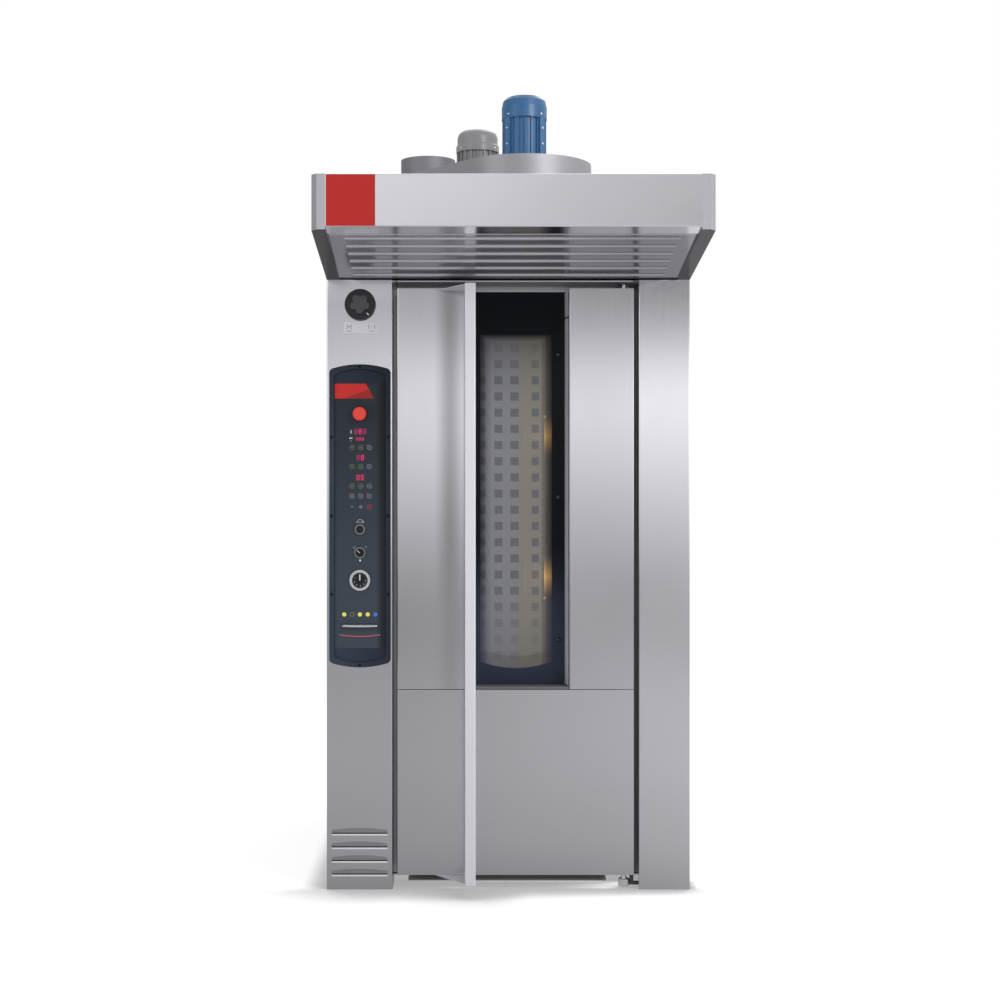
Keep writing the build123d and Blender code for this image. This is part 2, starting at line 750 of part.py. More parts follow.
with BuildPart() as flue_stub:
    flue_box_low = ceiling_level + liner
    flue_box_top = flue_box_low + flue_box_height
    flue_top = cabinet_height + flue_height
    box_x = (damper_x - flue_box_half, damper_x + flue_box_half)
    box_y = (flue_y - flue_box_half, flue_y + flue_box_half)
    slab(box_x, box_y, (flue_box_low, flue_box_top))
    slab((box_x[0] + flue_sheet, box_x[1] - flue_sheet), (box_y[0] + flue_sheet, box_y[1] - flue_sheet),
         (flue_box_low, flue_box_top - flue_sheet), mode=Mode.SUBTRACT)
    disc(damper_x, flue_y, (flue_box_top - flue_sheet, flue_top), flue_radius)
    disc(damper_x, flue_y, (cabinet_height, cabinet_height + flue_sheet), flue_radius + flue_flange)
    hole(damper_x, flue_y, flue_radius - flue_sheet, (flue_box_top - flue_sheet, flue_top))
    stud(damper_x, damper_level, (front_y - flue_y - flue_radius, front_y - flue_y + flue_radius),
         damper_shaft_radius + stem_clearance, mode=Mode.SUBTRACT)

with BuildPart() as damper_shaft:
    shaft_end = front_y - flue_y - flue_radius - damper_shaft_radius
    stud(damper_x, damper_level, (shaft_end, damper_knob_standoff), damper_shaft_radius)
    flap_radius = flue_radius - flue_sheet - flap_clearance
    disc(damper_x, flue_y, (damper_level - flue_sheet / 2, damper_level + flue_sheet / 2), flap_radius)

with BuildPart() as damper_knob:
    disc_front = damper_knob_standoff + damper_disc_height
    stud(damper_x, damper_level, (damper_knob_standoff, disc_front), damper_disc_radius)
    chamfer(damper_knob.faces().sort_by(Axis.Y)[0].edges(), length=damper_disc_chamfer)
    with BuildSketch(face_plane(damper_x, damper_level, disc_front)) as lobed_grip:
        Circle(damper_grip_radius - damper_lobe_radius)
        with PolarLocations(damper_grip_radius - damper_lobe_radius, damper_lobes, start_angle=-90):
            Circle(damper_lobe_radius)
        fillet(lobed_grip.vertices(), radius=damper_hollow_radius)
    extrude(amount=damper_grip_height)
    chamfer(damper_knob.faces().sort_by(Axis.Y)[0].edges(), length=damper_grip_chamfer)

# ================================================================ control panel


def arched_plate(width, height, rise):
    # an upright plate whose top and bottom edges are shallow arcs
    x, z = width / 2, height / 2
    with BuildLine() as rim:
        Line((-x, rise - z), (-x, z - rise))
        ThreePointArc((-x, z - rise), (0, z), (x, z - rise))
        Line((x, z - rise), (x, rise - z))
        ThreePointArc((x, rise - z), (0, -z), (-x, rise - z))
    make_face(rim.edges())


pocket_floor = bezel_thickness - bezel_pocket
panel_face = pocket_floor + membrane_thickness
stem_levels = (estop_level, button_level, selector_level, timer_level)

with BuildPart() as control_bezel:
    with BuildSketch(face_plane(panel_x, panel_level)) as bezel_outline:
        arched_plate(bezel_width, bezel_height, bezel_rise)
        fillet(bezel_outline.vertices(), radius=bezel_corner)
    extrude(amount=bezel_thickness)
    chamfer(control_bezel.faces().sort_by(Axis.Y)[0].edges(), length=bezel_chamfer)
    with BuildSketch(face_plane(panel_x, panel_level, pocket_floor)) as pocket_outline:
        arched_plate(bezel_width - 2 * bezel_border, bezel_height - 2 * bezel_border, bezel_rise)
        fillet(pocket_outline.vertices(), radius=bezel_corner)
    extrude(amount=bezel_pocket, mode=Mode.SUBTRACT)
    for level in stem_levels:
        stud(panel_x, level, (0, pocket_floor), stem_radius + stem_clearance, mode=Mode.SUBTRACT)

with BuildPart() as control_membrane:
    with BuildSketch(face_plane(panel_x, panel_level, pocket_floor)):
        Rectangle(membrane_width, membrane_height)
    extrude(amount=membrane_thickness)
    for level in stem_levels:
        stud(panel_x, level, (pocket_floor, panel_face), stem_radius + stem_clearance, mode=Mode.SUBTRACT)


def control_ring(level, inner, width, height):
    # a collar that stands on the membrane round a button or knob
    stud(panel_x, level, (panel_face, panel_face + height), inner + width)
    stud(panel_x, level, (panel_face, panel_face + height), inner, mode=Mode.SUBTRACT)


with BuildPart() as control_rings:
    control_ring(estop_level, stem_radius + stem_clearance, estop_collar_width, estop_collar_height)
    control_ring(button_level, button_radius + ring_clearance, ring_width, ring_height)
    control_ring(selector_level, selector_radius + ring_clearance, ring_width, ring_height)
    control_ring(timer_level, timer_radius + ring_clearance, timer_ring_width, ring_height)

with BuildPart() as bezel_screws:
    screw_side = (bezel_width - bezel_border) / 2
    screw_end = (bezel_height - bezel_border) / 2
    screw_places = [(0, screw_end), (0, -screw_end)]
    with BuildSketch(face_plane(panel_x, panel_level, bezel_thickness)):
        with Locations(*screw_places):
            Circle(screw_radius)
        with GridLocations(2 * screw_side, screw_pitch, 2, screws_per_side):
            Circle(screw_radius)
    extrude(amount=screw_head_height)

with BuildPart() as panel_grip:
    grip_x = (panel_x - grip_width / 2, panel_x + grip_width / 2)
    grip_z = (grip_level - grip_height / 2, grip_level + grip_height / 2)
    grip_front = front_y - panel_face - grip_standoff - grip_thickness
    slab(grip_x, (grip_front, front_y - panel_face), grip_z)
    slab((grip_x[0] + grip_leg, grip_x[1] - grip_leg), (grip_front + grip_thickness, front_y - panel_face),
         grip_z, mode=Mode.SUBTRACT)
    fillet(panel_grip.edges().filter_by(Axis.Z).group_by(Axis.Y)[0], radius=grip_edge_radius)

with BuildPart() as estop_button:
    head_low = panel_face + estop_standoff
    stud(panel_x, estop_level, (head_low, head_low + estop_height), estop_radius)
    chamfer(estop_button.faces().sort_by(Axis.Y)[0].edges(), length=estop_edge, length2=estop_edge / 2)
    stud(panel_x, estop_level, (-stem_length, head_low), stem_radius)

with BuildPart() as start_button:
    cap_low = panel_face + button_standoff
    stud(panel_x, button_level, (cap_low, cap_low + button_height), button_radius)
    chamfer(start_button.faces().sort_by(Axis.Y)[0].edges(), length=button_chamfer)
    stud(panel_x, button_level, (-stem_length, cap_low), stem_radius)

with BuildPart() as selector_knob:
    selector_low = panel_face + ring_clearance
    stud(panel_x, selector_level, (selector_low, selector_low + selector_height), selector_radius)
    with BuildSketch(face_plane(panel_x, selector_level, selector_low + selector_height)):
        SlotOverall(selector_bar_length, selector_bar_width, rotation=selector_bar_angle)
    extrude(amount=selector_bar_height)
    stud(panel_x, selector_level, (-stem_length, selector_low), stem_radius)

with BuildPart() as timer_dial:
    dial_low = panel_face + ring_clearance
    stud(panel_x, timer_level, (dial_low, dial_low + timer_height), timer_radius)
    with BuildSketch(face_plane(panel_x, timer_level, dial_low + timer_height)):
        with Locations((0, timer_pointer_length / 2)):
            Rectangle(timer_pointer_width, timer_pointer_length)
    extrude(amount=timer_pointer_height)
    stud(panel_x, timer_level, (-stem_length, dial_low), stem_radius)

# ================================================================ hood

with BuildPart() as hood_cheeks:
    cheek_low = hood_low - cheek_drop
    for side in (-1, 1):
        cheek_x = min(side * half_width, side * cheek_inner_x)
        outline([(hood_front_y, hood_top), (hood_back_y, hood_top), (hood_back_y, cabinet_height),
                 (front_y, cabinet_height), (hood_front_y, cheek_low)], Plane.YZ.offset(cheek_x), cheek_width)
    outer_corners = hood_cheeks.edges().filter_by(Axis.Z).group_by(Axis.Y)[0].sort_by(Axis.X)
    chamfer([outer_corners[0], outer_corners[-1]], length=cheek_chamfer)
    wall = 2 * skin
    hollow_front_y = hood_front_y + cheek_chamfer + wall
    for side in (-1, 1):
        hollow_x = min(side * (half_width - wall), side * cheek_inner_x)
        outline([(hollow_front_y, hood_top - wall), (hood_back_y - wall, hood_top - wall),
                 (hood_back_y - wall, cabinet_height + fascia_rim), (hollow_front_y, cheek_low + fascia_rim)],
                Plane.YZ.offset(hollow_x), cheek_width - wall, mode=Mode.SUBTRACT)

with BuildPart() as hood_fascia:
    rim_back_y = hood_front_y + fascia_rim
    rim_back_level = hood_low - hood_slope * fascia_rim
    folded([(rim_back_y, rim_back_level + baffle_rise), (rim_back_y, rim_back_level),
            (hood_front_y, hood_low), (hood_front_y, hood_top), (rim_back_y, hood_top)],
           [bend / 2, bend, bend], skin, Side.RIGHT, Plane.YZ.offset(-cheek_inner_x), 2 * cheek_inner_x)

with BuildPart() as hood_top_plate:
    hood_x = (-cheek_inner_x, cheek_inner_x)
    slab(hood_x, (rim_back_y, hood_back_y), (hood_top - skin, hood_top))
    slab(hood_x, (hood_back_y - skin, hood_back_y), (cabinet_height, hood_top))
    hole(extractor_x, extractor_y, inlet_radius, (hood_top - skin, hood_top))

with BuildPart() as hood_baffle:
    baffle_front_level = rim_back_level + baffle_rise
    baffle_back_level = cabinet_height + baffle_rise
    outline([(rim_back_y + skin, baffle_front_level), (front_y, baffle_back_level),
             (front_y, baffle_back_level + skin), (rim_back_y + skin, baffle_front_level + skin)],
            Plane.YZ.offset(-cheek_inner_x), 2 * cheek_inner_x)
    rib_pitch = (hood_reach - rib_first - rib_last) / (rib_count - 1)
    for rib in range(rib_count):
        rib_y = hood_front_y + rib_first + rib_pitch * rib
        rib_level = hood_low + baffle_rise - hood_slope * (rib_y - hood_front_y)
        rib_rise = hood_slope * rib_width / 2
        rib_front = (rib_y - rib_width / 2, rib_level + rib_rise)
        rib_back = (rib_y + rib_width / 2, rib_level - rib_rise)
        with BuildSketch(Plane.YZ.offset(rib_margin - cheek_inner_x)):
            with BuildLine():
                ThreePointArc(rib_front, (rib_y, rib_level - rib_depth), rib_back)
                Polyline(rib_back, (rib_y, rib_level + skin / 2), rib_front)
            make_face()
        extrude(amount=2 * (cheek_inner_x - rib_margin))

# ================================================================ extractor

with BuildPart() as extractor_housing:
    for shrunk, volute_levels, mode in ((0, (hood_top, drum_top), Mode.ADD),
                                        (skin, (hood_top + skin, drum_top - skin), Mode.SUBTRACT)):
        teardrop([(extractor_x, extractor_y, drum_radius - shrunk),
                  (collar_x, collar_y, collar_radius + volute_margin - shrunk)], volute_levels, mode)
    hole(extractor_x, extractor_y, inlet_radius, (hood_top, hood_top + skin))
    hole(extractor_x, extractor_y, motor_shaft_radius + shaft_gap, (drum_top - skin, drum_top))
    hole(collar_x, collar_y, collar_radius - collar_sheet, (drum_top - skin, drum_top))

with BuildPart() as exhaust_collar:
    disc(collar_x, collar_y, (drum_top, drum_top + collar_height), collar_radius)
    hole(collar_x, collar_y, collar_radius - collar_sheet, (drum_top, drum_top + collar_height))

with BuildPart() as extractor_impeller:
    impeller_low = hood_top + impeller_lift
    fan_wheel(Plane((extractor_x, extractor_y, impeller_low + impeller_height)), impeller_radius,
              inlet_radius, impeller_height, impeller_blades, blade_sheet)
    disc(extractor_x, extractor_y, (impeller_low + impeller_height / 2, drum_top + shaft_engagement),
         motor_shaft_radius)

with BuildPart() as extractor_motor:
    finned_motor(extractor_x, extractor_y, drum_top, extractor_motor_radius, extractor_motor_height)
    pad_length = extractor_motor_height - cowl_overlap
    pad_turns = [(0, 0, angle) for angle in (-pad_angle, pad_angle, 180 - pad_angle, 180 + pad_angle)]
    pad_middle = (extractor_x, extractor_y, drum_top + pad_length / 2)
    with Locations(*[Location(pad_middle, turn) for turn in pad_turns]):
        with Locations((extractor_motor_radius, 0, 0)):
            Box(2 * pad_height, pad_width, pad_length)
    hole(extractor_x, extractor_y, motor_shaft_radius + bore_clearance,
         (drum_top, drum_top + shaft_engagement))

with BuildPart() as extractor_cowl:
    cowl_rim = drum_top + extractor_motor_height - cowl_overlap
    cowl_radius = extractor_motor_radius + fin_height + skin
    cowl_top = cowl_rim + extractor_cowl_height
    motor_cowl(extractor_x, extractor_y, [(cowl_radius, cowl_rim),
                                          (cowl_radius, cowl_top - extractor_cowl_shoulder)]
               + [(cowl_radius * out, cowl_top - extractor_cowl_shoulder * down)
                  for out, down in extractor_cowl_shape])

# ================================================================ door

gusset_x = handle_left_x - gusset_width
handle_top = door_top - handle_drop
flat_levels = (door_bottom, door_seam_level - seam_gap)
upper_levels = (door_seam_level + seam_gap, door_top)
skin_y = (front_y + skin, door_skin_y)
left_path = [(door_left_x, door_skin_y), (door_left_x, front_y), (handle_right_x - skin, front_y)]

with BuildPart() as door_left_panel:
    folded(left_path, [bend], skin, Side.LEFT, Plane.XY.offset(upper_levels[0]),
           upper_levels[1] - upper_levels[0])
    slab((door_left_x + skin, handle_right_x - skin), skin_y, (door_top - skin, door_top))

with BuildPart() as door_lower_panel:
    folded(left_path, [bend], skin, Side.LEFT, Plane.XY.offset(flat_levels[0]),
           flat_levels[1] - flat_levels[0])
    # notch over the handle's lower end plate
    outline([(gusset_x, door_bottom), (handle_right_x, door_bottom),
             (handle_right_x, door_bottom + skin + gusset_notch), (gusset_x, door_bottom + skin)],
            Plane.XZ.offset(-front_y - skin), skin, mode=Mode.SUBTRACT)
    folded([(handle_right_x, front_y), (door_right_x, front_y), (door_right_x, door_skin_y)], [bend], skin,
           Side.LEFT, Plane.XY.offset(flat_levels[0]), flat_levels[1] - flat_levels[0])
    # sill under the window recess, rising towards the glass
    outline([(front_y, flat_levels[1] - skin), (front_y, flat_levels[1]), (glass_y, glass_bottom - skin),
             (glass_y, glass_bottom - 2 * skin)],
            Plane.YZ.offset(handle_right_x), glass_right_x - handle_right_x)
    slab((handle_right_x, door_right_x - skin), skin_y, (door_bottom, door_bottom + skin))
    slab((door_left_x + skin, gusset_x), skin_y, (door_bottom, door_bottom + skin))
    hole(hinge_x, hinge_y, pin_radius + shaft_gap, (door_bottom, door_bottom + skin))

with BuildPart() as door_right_panel:
    folded([(glass_right_x, glass_y), (window_right_x, front_y), (door_right_x, front_y),
            (door_right_x, door_skin_y)], [bend, bend], skin, Side.LEFT, Plane.XY.offset(upper_levels[0]),
           upper_levels[1] - upper_levels[0])
    slab((window_right_x + skin, door_right_x - skin), skin_y, (door_top - skin, door_top))
    hole(hinge_x, hinge_y, pin_radius + shaft_gap, (door_top - skin, door_top))

with BuildPart() as door_handle:
    folded([(handle_left_x, handle_front_y + handle_lip), (handle_left_x, handle_front_y),
            (handle_right_x, handle_front_y), (handle_right_x, inner_glass_y)], [bend, bend], skin, Side.LEFT,
           Plane.XY.offset(door_bottom), handle_top - door_bottom)
    # the end plates are gussets back to the door's face, open to a hand on the left
    gusset = [(handle_right_x - skin, front_y), (gusset_x, front_y), (handle_left_x, handle_front_y + handle_lip),
              (handle_left_x + skin, handle_front_y + skin), (handle_right_x - skin, handle_front_y + skin)]
    outline(gusset, Plane.XY.offset(door_bottom), skin)
    outline(gusset, Plane.XY.offset(handle_top - skin), skin)

with BuildPart() as door_inner_pan:
    pan_x = (pan_left_x, pan_right_x)
    sight_x = (glass_left_x, glass_right_x - window_border)
    rebate_x = (glass_left_x - window_border / 2, glass_right_x - window_border / 2)
    rebate_z = (window_bottom - window_border, window_top + window_border)
    slab(pan_x, (door_skin_y, door_back_y), (door_bottom, door_top))
    slab((pan_x[0] + skin, pan_x[1] - skin), (door_skin_y, door_back_y - skin),
         (door_bottom + skin, door_top - skin), mode=Mode.SUBTRACT)
    # tunnel between the two panes, and the opening in the back of the tray
    slab((handle_right_x, glass_right_x), (glass_y + glass_thickness, door_back_y - skin),
         (glass_bottom, door_top))
    slab((handle_right_x - skin, window_right_x), (door_skin_y, glass_y + glass_thickness),
         (door_seam_level, door_top), mode=Mode.SUBTRACT)
    slab((handle_right_x - skin, handle_right_x), (door_skin_y, inner_glass_y), (door_bottom, door_top),
         mode=Mode.SUBTRACT)
    slab(sight_x, (glass_y + glass_thickness, inner_glass_y), (window_bottom, window_top), mode=Mode.SUBTRACT)
    slab(rebate_x, (inner_glass_y, door_back_y - skin), rebate_z, mode=Mode.SUBTRACT)
    slab(sight_x, (door_back_y - skin, door_back_y), (window_bottom, window_top), mode=Mode.SUBTRACT)

with BuildPart() as door_insulation:
    fill_y = (door_skin_y, door_back_y - skin - insulation_gap)
    fill_left = handle_right_x - skin - insulation_gap
    fill_right = window_right_x + insulation_gap
    slab((pan_left_x + skin, fill_left), fill_y, (door_bottom + skin, door_top - skin))
    slab((fill_right, pan_right_x - skin), fill_y, (door_bottom + skin, door_top - skin))
    slab((handle_right_x + insulation_gap, fill_right), fill_y,
         (door_bottom + skin, door_seam_level - insulation_gap))

with BuildPart() as door_glass_outer:
    slab((handle_right_x, glass_right_x), (glass_y, glass_y + glass_thickness),
         (glass_bottom, door_top - skin))

with BuildPart() as door_glass_inner:
    slab(rebate_x, (inner_glass_y, door_back_y - skin), rebate_z)

lowest_nut = glass_bottom + glass_nut_foot
highest_nut = door_top - glass_nut_head
glass_nut_levels = (lowest_nut, (lowest_nut + highest_nut) / 2, highest_nut)

with BuildPart() as glass_nuts:
    for level in glass_nut_levels:
        stud(glass_right_x - glass_nut_inset, level, (-glass_depth, glass_nut_height - glass_depth),
             glass_nut_radius)

with BuildPart() as door_lamps:
    lamp_x = sight_x[1] - lamp_inset
    lamp_y = (glass_y + glass_thickness + inner_glass_y) / 2
    for level in [nut_level + lamp_rise for nut_level in glass_nut_levels[:-1]]:
        disc(lamp_x, lamp_y, (level - lamp_height / 2, level + lamp_height / 2), lamp_radius)
        for end in (-1, 1):
            holder_z = level + end * lamp_height / 2
            slab((lamp_x - lamp_radius, sight_x[1]), (lamp_y - lamp_radius, lamp_y + lamp_radius),
                 (holder_z - lamp_radius, holder_z + lamp_radius))

with BuildPart() as door_sweep:
    slab((-doorway_half, doorway_half), (door_back_y - sweep_seal_thickness, door_back_y),
         (door_bottom - sweep_seal_height, door_bottom))

with BuildPart() as hinge_bushes:
    bush_x = (hinge_x - bush_half_width, hinge_x + bush_half_width)
    for low in (door_bottom + skin, door_top - skin - pin_engagement):
        slab(bush_x, skin_y, (low, low + pin_engagement))
        hole(hinge_x, hinge_y, pin_radius + pin_clearance, (low, low + pin_engagement))

# ================================================================ hinge and seal on the cabinet

lower_arm_top = lower_bracket_level + bracket_thickness
upper_arm_top = roof_level - frame_sheet

with BuildPart() as pivot_brackets:
    arm_x = (hinge_x, right_column_x)
    arm_y = (hinge_y - bracket_half_width, hinge_y + bracket_half_width)
    slab(arm_x, (hinge_y - pin_radius, arm_y[1]), (lower_bracket_level, lower_arm_top))
    hole(hinge_x, hinge_y, bearing_boss_radius, (lower_bracket_level, lower_arm_top))
    slab((hinge_x + bearing_boss_radius, door_right_x), (hinge_y - pin_radius, hinge_y + pin_radius),
         (lower_arm_top, door_bottom - stop_gap))
    slab((hinge_x - bracket_half_width, right_column_x), arm_y, (upper_arm_top - bracket_thickness, upper_arm_top))

with BuildPart() as hinge_pins:
    disc(hinge_x, hinge_y, (bearing_boss_foot, bearing_boss_top), bearing_boss_radius)
    chamfer(hinge_pins.edges().filter_by(GeomType.CIRCLE), length=bearing_boss_edge)
    disc(hinge_x, hinge_y, (bearing_boss_top, door_bottom + skin + pin_engagement), pin_radius)
    disc(hinge_x, hinge_y, (door_top - skin - pin_engagement, upper_arm_top - bracket_thickness), pin_radius)

with BuildPart() as door_gasket:
    gasket_outer = doorway_half + gasket_setback + gasket_width
    gasket_inner = doorway_half + gasket_setback
    gasket_y = (door_back_y + gasket_clearance, frame_front_y)
    gasket_top = doorway_top + gasket_setback + gasket_width
    slab((-gasket_outer, gasket_outer), gasket_y, (door_bottom, gasket_top))
    slab((-gasket_inner, gasket_inner), gasket_y, (door_bottom, gasket_top - gasket_width),
         mode=Mode.SUBTRACT)

# ================================================================ labels and files

base_pan.part.label = "base_pan"
export_step(base_pan.part, "parts/base_pan.step")
front_frame.part.label = "front_frame"
export_step(front_frame.part, "parts/front_frame.step")
left_column_casing.part.label = "left_column_casing"
export_step(left_column_casing.part, "parts/left_column_casing.step")
right_column_casing.part.label = "right_column_casing"
export_step(right_column_casing.part, "parts/right_column_casing.step")
side_panels.part.label = "side_panels"
export_step(side_panels.part, "parts/side_panels.step")
rear_panel.part.label = "rear_panel"
export_step(rear_panel.part, "parts/rear_panel.step")
roof_panel.part.label = "roof_panel"
export_step(roof_panel.part, "parts/roof_panel.step")
insulation.part.label = "insulation"
export_step(insulation.part, "parts/insulation.step")
chamber_walls.part.label = "chamber_walls"
export_step(chamber_walls.part, "parts/chamber_walls.step")
chamber_ceiling.part.label = "chamber_ceiling"
export_step(chamber_ceiling.part, "parts/chamber_ceiling.step")
chamber_floor.part.label = "chamber_floor"
export_step(chamber_floor.part, "parts/chamber_floor.step")
air_diffuser.part.label = "air_diffuser"
export_step(air_diffuser.part, "parts/air_diffuser.step")
circulation_fan.part.label = "circulation_fan"
export_step(circulation_fan.part, "parts/circulation_fan.step")
circulation_motor.part.label = "circulation_motor"
export_step(circulation_motor.part, "parts/circulation_motor.step")
heater_bank.part.label = "heater_bank"
export_step(heater_bank.part, "parts/heater_bank.step")
steam_cascade.part.label = "steam_cascade"
export_step(steam_cascade.part, "parts/steam_cascade.step")
gear_case.part.label = "gear_case"
export_step(gear_case.part, "parts/gear_case.step")
rack_bearing.part.label = "rack_bearing"
export_step(rack_bearing.part, "parts/rack_bearing.step")
rack_shaft.part.label = "rack_shaft"
export_step(rack_shaft.part, "parts/rack_shaft.step")
rack_wheel.part.label = "rack_wheel"
export_step(rack_wheel.part, "parts/rack_wheel.step")
rack_hook.part.label = "rack_hook"
export_step(rack_hook.part, "parts/rack_hook.step")
drive_pinion.part.label = "drive_pinion"
export_step(drive_pinion.part, "parts/drive_pinion.step")
gearmotor.part.label = "gearmotor"
export_step(gearmotor.part, "parts/gearmotor.step")
gearmotor_cowl.part.label = "gearmotor_cowl"
export_step(gearmotor_cowl.part, "parts/gearmotor_cowl.step")
flue_stub.part.label = "flue_stub"
export_step(flue_stub.part, "parts/flue_stub.step")
damper_shaft.part.label = "damper_shaft"
export_step(damper_shaft.part, "parts/damper_shaft.step")
damper_knob.part.label = "damper_knob"
export_step(damper_knob.part, "parts/damper_knob.step")
control_bezel.part.label = "control_bezel"
export_step(control_bezel.part, "parts/control_bezel.step")
control_membrane.part.label = "control_membrane"
export_step(control_membrane.part, "parts/control_membrane.step")
control_rings.part.label = "control_rings"
export_step(control_rings.part, "parts/control_rings.step")
bezel_screws.part.label = "bezel_screws"
export_step(bezel_screws.part, "parts/bezel_screws.step")
panel_grip.part.label = "panel_grip"
export_step(panel_grip.part, "parts/panel_grip.step")
estop_button.part.label = "estop_button"
export_step(estop_button.part, "parts/estop_button.step")
start_button.part.label = "start_button"
export_step(start_button.part, "parts/start_button.step")
selector_knob.part.label = "selector_knob"
export_step(selector_knob.part, "parts/selector_knob.step")
timer_dial.part.label = "timer_dial"
export_step(timer_dial.part, "parts/timer_dial.step")
hood_cheeks.part.label = "hood_cheeks"
export_step(hood_cheeks.part, "parts/hood_cheeks.step")
hood_fascia.part.label = "hood_fascia"
export_step(hood_fascia.part, "parts/hood_fascia.step")
hood_top_plate.part.label = "hood_top_plate"
export_step(hood_top_plate.part, "parts/hood_top_plate.step")
hood_baffle.part.label = "hood_baffle"
export_step(hood_baffle.part, "parts/hood_baffle.step")
extractor_housing.part.label = "extractor_housing"
export_step(extractor_housing.part, "parts/extractor_housing.step")
exhaust_collar.part.label = "exhaust_collar"
export_step(exhaust_collar.part, "parts/exhaust_collar.step")
extractor_impeller.part.label = "extractor_impeller"
export_step(extractor_impeller.part, "parts/extractor_impeller.step")
extractor_motor.part.label = "extractor_motor"
export_step(extractor_motor.part, "parts/extractor_motor.step")
extractor_cowl.part.label = "extractor_cowl"
export_step(extractor_cowl.part, "parts/extractor_cowl.step")
door_left_panel.part.label = "door_left_panel"
export_step(door_left_panel.part, "parts/door_left_panel.step")
door_right_panel.part.label = "door_right_panel"
export_step(door_right_panel.part, "parts/door_right_panel.step")
door_lower_panel.part.label = "door_lower_panel"
export_step(door_lower_panel.part, "parts/door_lower_panel.step")
door_handle.part.label = "door_handle"
export_step(door_handle.part, "parts/door_handle.step")
door_inner_pan.part.label = "door_inner_pan"
export_step(door_inner_pan.part, "parts/door_inner_pan.step")
door_insulation.part.label = "door_insulation"
export_step(door_insulation.part, "parts/door_insulation.step")
door_glass_outer.part.label = "door_glass_outer"
export_step(door_glass_outer.part, "parts/door_glass_outer.step")
door_glass_inner.part.label = "door_glass_inner"
export_step(door_glass_inner.part, "parts/door_glass_inner.step")
glass_nuts.part.label = "glass_nuts"
export_step(glass_nuts.part, "parts/glass_nuts.step")
door_lamps.part.label = "door_lamps"
export_step(door_lamps.part, "parts/door_lamps.step")
door_sweep.part.label = "door_sweep"
export_step(door_sweep.part, "parts/door_sweep.step")
hinge_bushes.part.label = "hinge_bushes"
export_step(hinge_bushes.part, "parts/hinge_bushes.step")
pivot_brackets.part.label = "pivot_brackets"
export_step(pivot_brackets.part, "parts/pivot_brackets.step")
hinge_pins.part.label = "hinge_pins"
export_step(hinge_pins.part, "parts/hinge_pins.step")
door_gasket.part.label = "door_gasket"
export_step(door_gasket.part, "parts/door_gasket.step")
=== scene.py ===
from math import cos, pi, radians, sin, sqrt

import bmesh
import bpy
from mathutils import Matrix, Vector


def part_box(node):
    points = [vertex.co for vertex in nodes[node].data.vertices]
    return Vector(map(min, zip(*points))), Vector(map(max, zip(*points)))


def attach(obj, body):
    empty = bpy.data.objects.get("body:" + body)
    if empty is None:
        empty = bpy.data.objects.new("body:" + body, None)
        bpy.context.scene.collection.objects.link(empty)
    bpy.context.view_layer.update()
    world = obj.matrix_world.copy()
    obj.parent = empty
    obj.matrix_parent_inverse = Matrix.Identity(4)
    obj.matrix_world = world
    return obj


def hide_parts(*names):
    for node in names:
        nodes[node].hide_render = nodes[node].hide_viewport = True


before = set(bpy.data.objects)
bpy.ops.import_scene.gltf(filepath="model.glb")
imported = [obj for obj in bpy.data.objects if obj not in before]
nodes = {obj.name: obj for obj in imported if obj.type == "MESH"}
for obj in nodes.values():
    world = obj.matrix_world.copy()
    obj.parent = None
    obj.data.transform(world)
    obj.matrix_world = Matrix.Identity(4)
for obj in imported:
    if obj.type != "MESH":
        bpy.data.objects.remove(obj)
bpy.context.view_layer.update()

print("oven frame loaded:", len(nodes), "solids")


def tint(red, green, blue):
    # a colour picked as 0-255 on screen, turned into the shader's linear values
    linear = []
    for value in (red / 255, green / 255, blue / 255):
        linear.append(value / 12.92 if value <= 0.04045 else ((value + 0.055) / 1.055) ** 2.4)
    return (*linear, 1)


# small tools for materials

current = {}      # the nodes that new ones join


def openNodes(owner):
    # nodes added from here on belong to this material or world
    owner.use_nodes = True
    current["nodes"] = owner.node_tree.nodes
    return current["nodes"]


def feed(node, inputs):
    # an input takes another node's output or a value of its own
    for key, value in inputs.items():
        if hasattr(value, "is_output"):
            node.id_data.links.new(value, node.inputs[key])
        else:
            node.inputs[key].default_value = value


def newMaterial(name, colour, roughness, metallic=0.0):
    material = bpy.data.materials.new(name)
    material.diffuse_color = colour
    shader = openNodes(material)["Principled BSDF"]
    feed(shader, {"Base Color": colour, "Roughness": roughness, "Metallic": metallic})
    return material, shader


def addNode(kind, inputs=None, **settings):
    node = current["nodes"].new("ShaderNode" + kind)
    for key, value in settings.items():
        setattr(node, key, value)
    feed(node, inputs or {})
    return node


def calc(operation, *values, clamp=False):
    # a sum, product, least or most of several values takes one node for each two
    if len(values) > 2 and operation != "MULTIPLY_ADD":
        values = (calc(operation, *values[:-1]), values[-1])
    return addNode("Math", dict(enumerate(values)), operation=operation, use_clamp=clamp).outputs[0]


def gap(first, second):
    return calc("ABSOLUTE", calc("SUBTRACT", first, second))


def share(part, whole):
    # part of the whole, held between 0 and 1
    return calc("DIVIDE", part, whole, clamp=True)


def remap(value, first, last, start=0.0, end=1.0, soft=False):
    # first where the value is start, last where it is end, and no further beyond them
    curve = "SMOOTHSTEP" if soft else "LINEAR"
    return addNode("MapRange", {"Value": value, "From Min": start, "From Max": end, "To Min": first,
                                "To Max": last}, interpolation_type=curve).outputs[0]


def blendColours(amount, first, second, mode="MIX"):
    return addNode("Mix", {0: amount, 6: first, 7: second}, data_type="RGBA", blend_type=mode).outputs[2]


def dulled(colour, level):
    grey = addNode("CombineColor", {0: level, 1: level, 2: level}).outputs[0]
    return blendColours(1.0, colour, grey, "MULTIPLY")


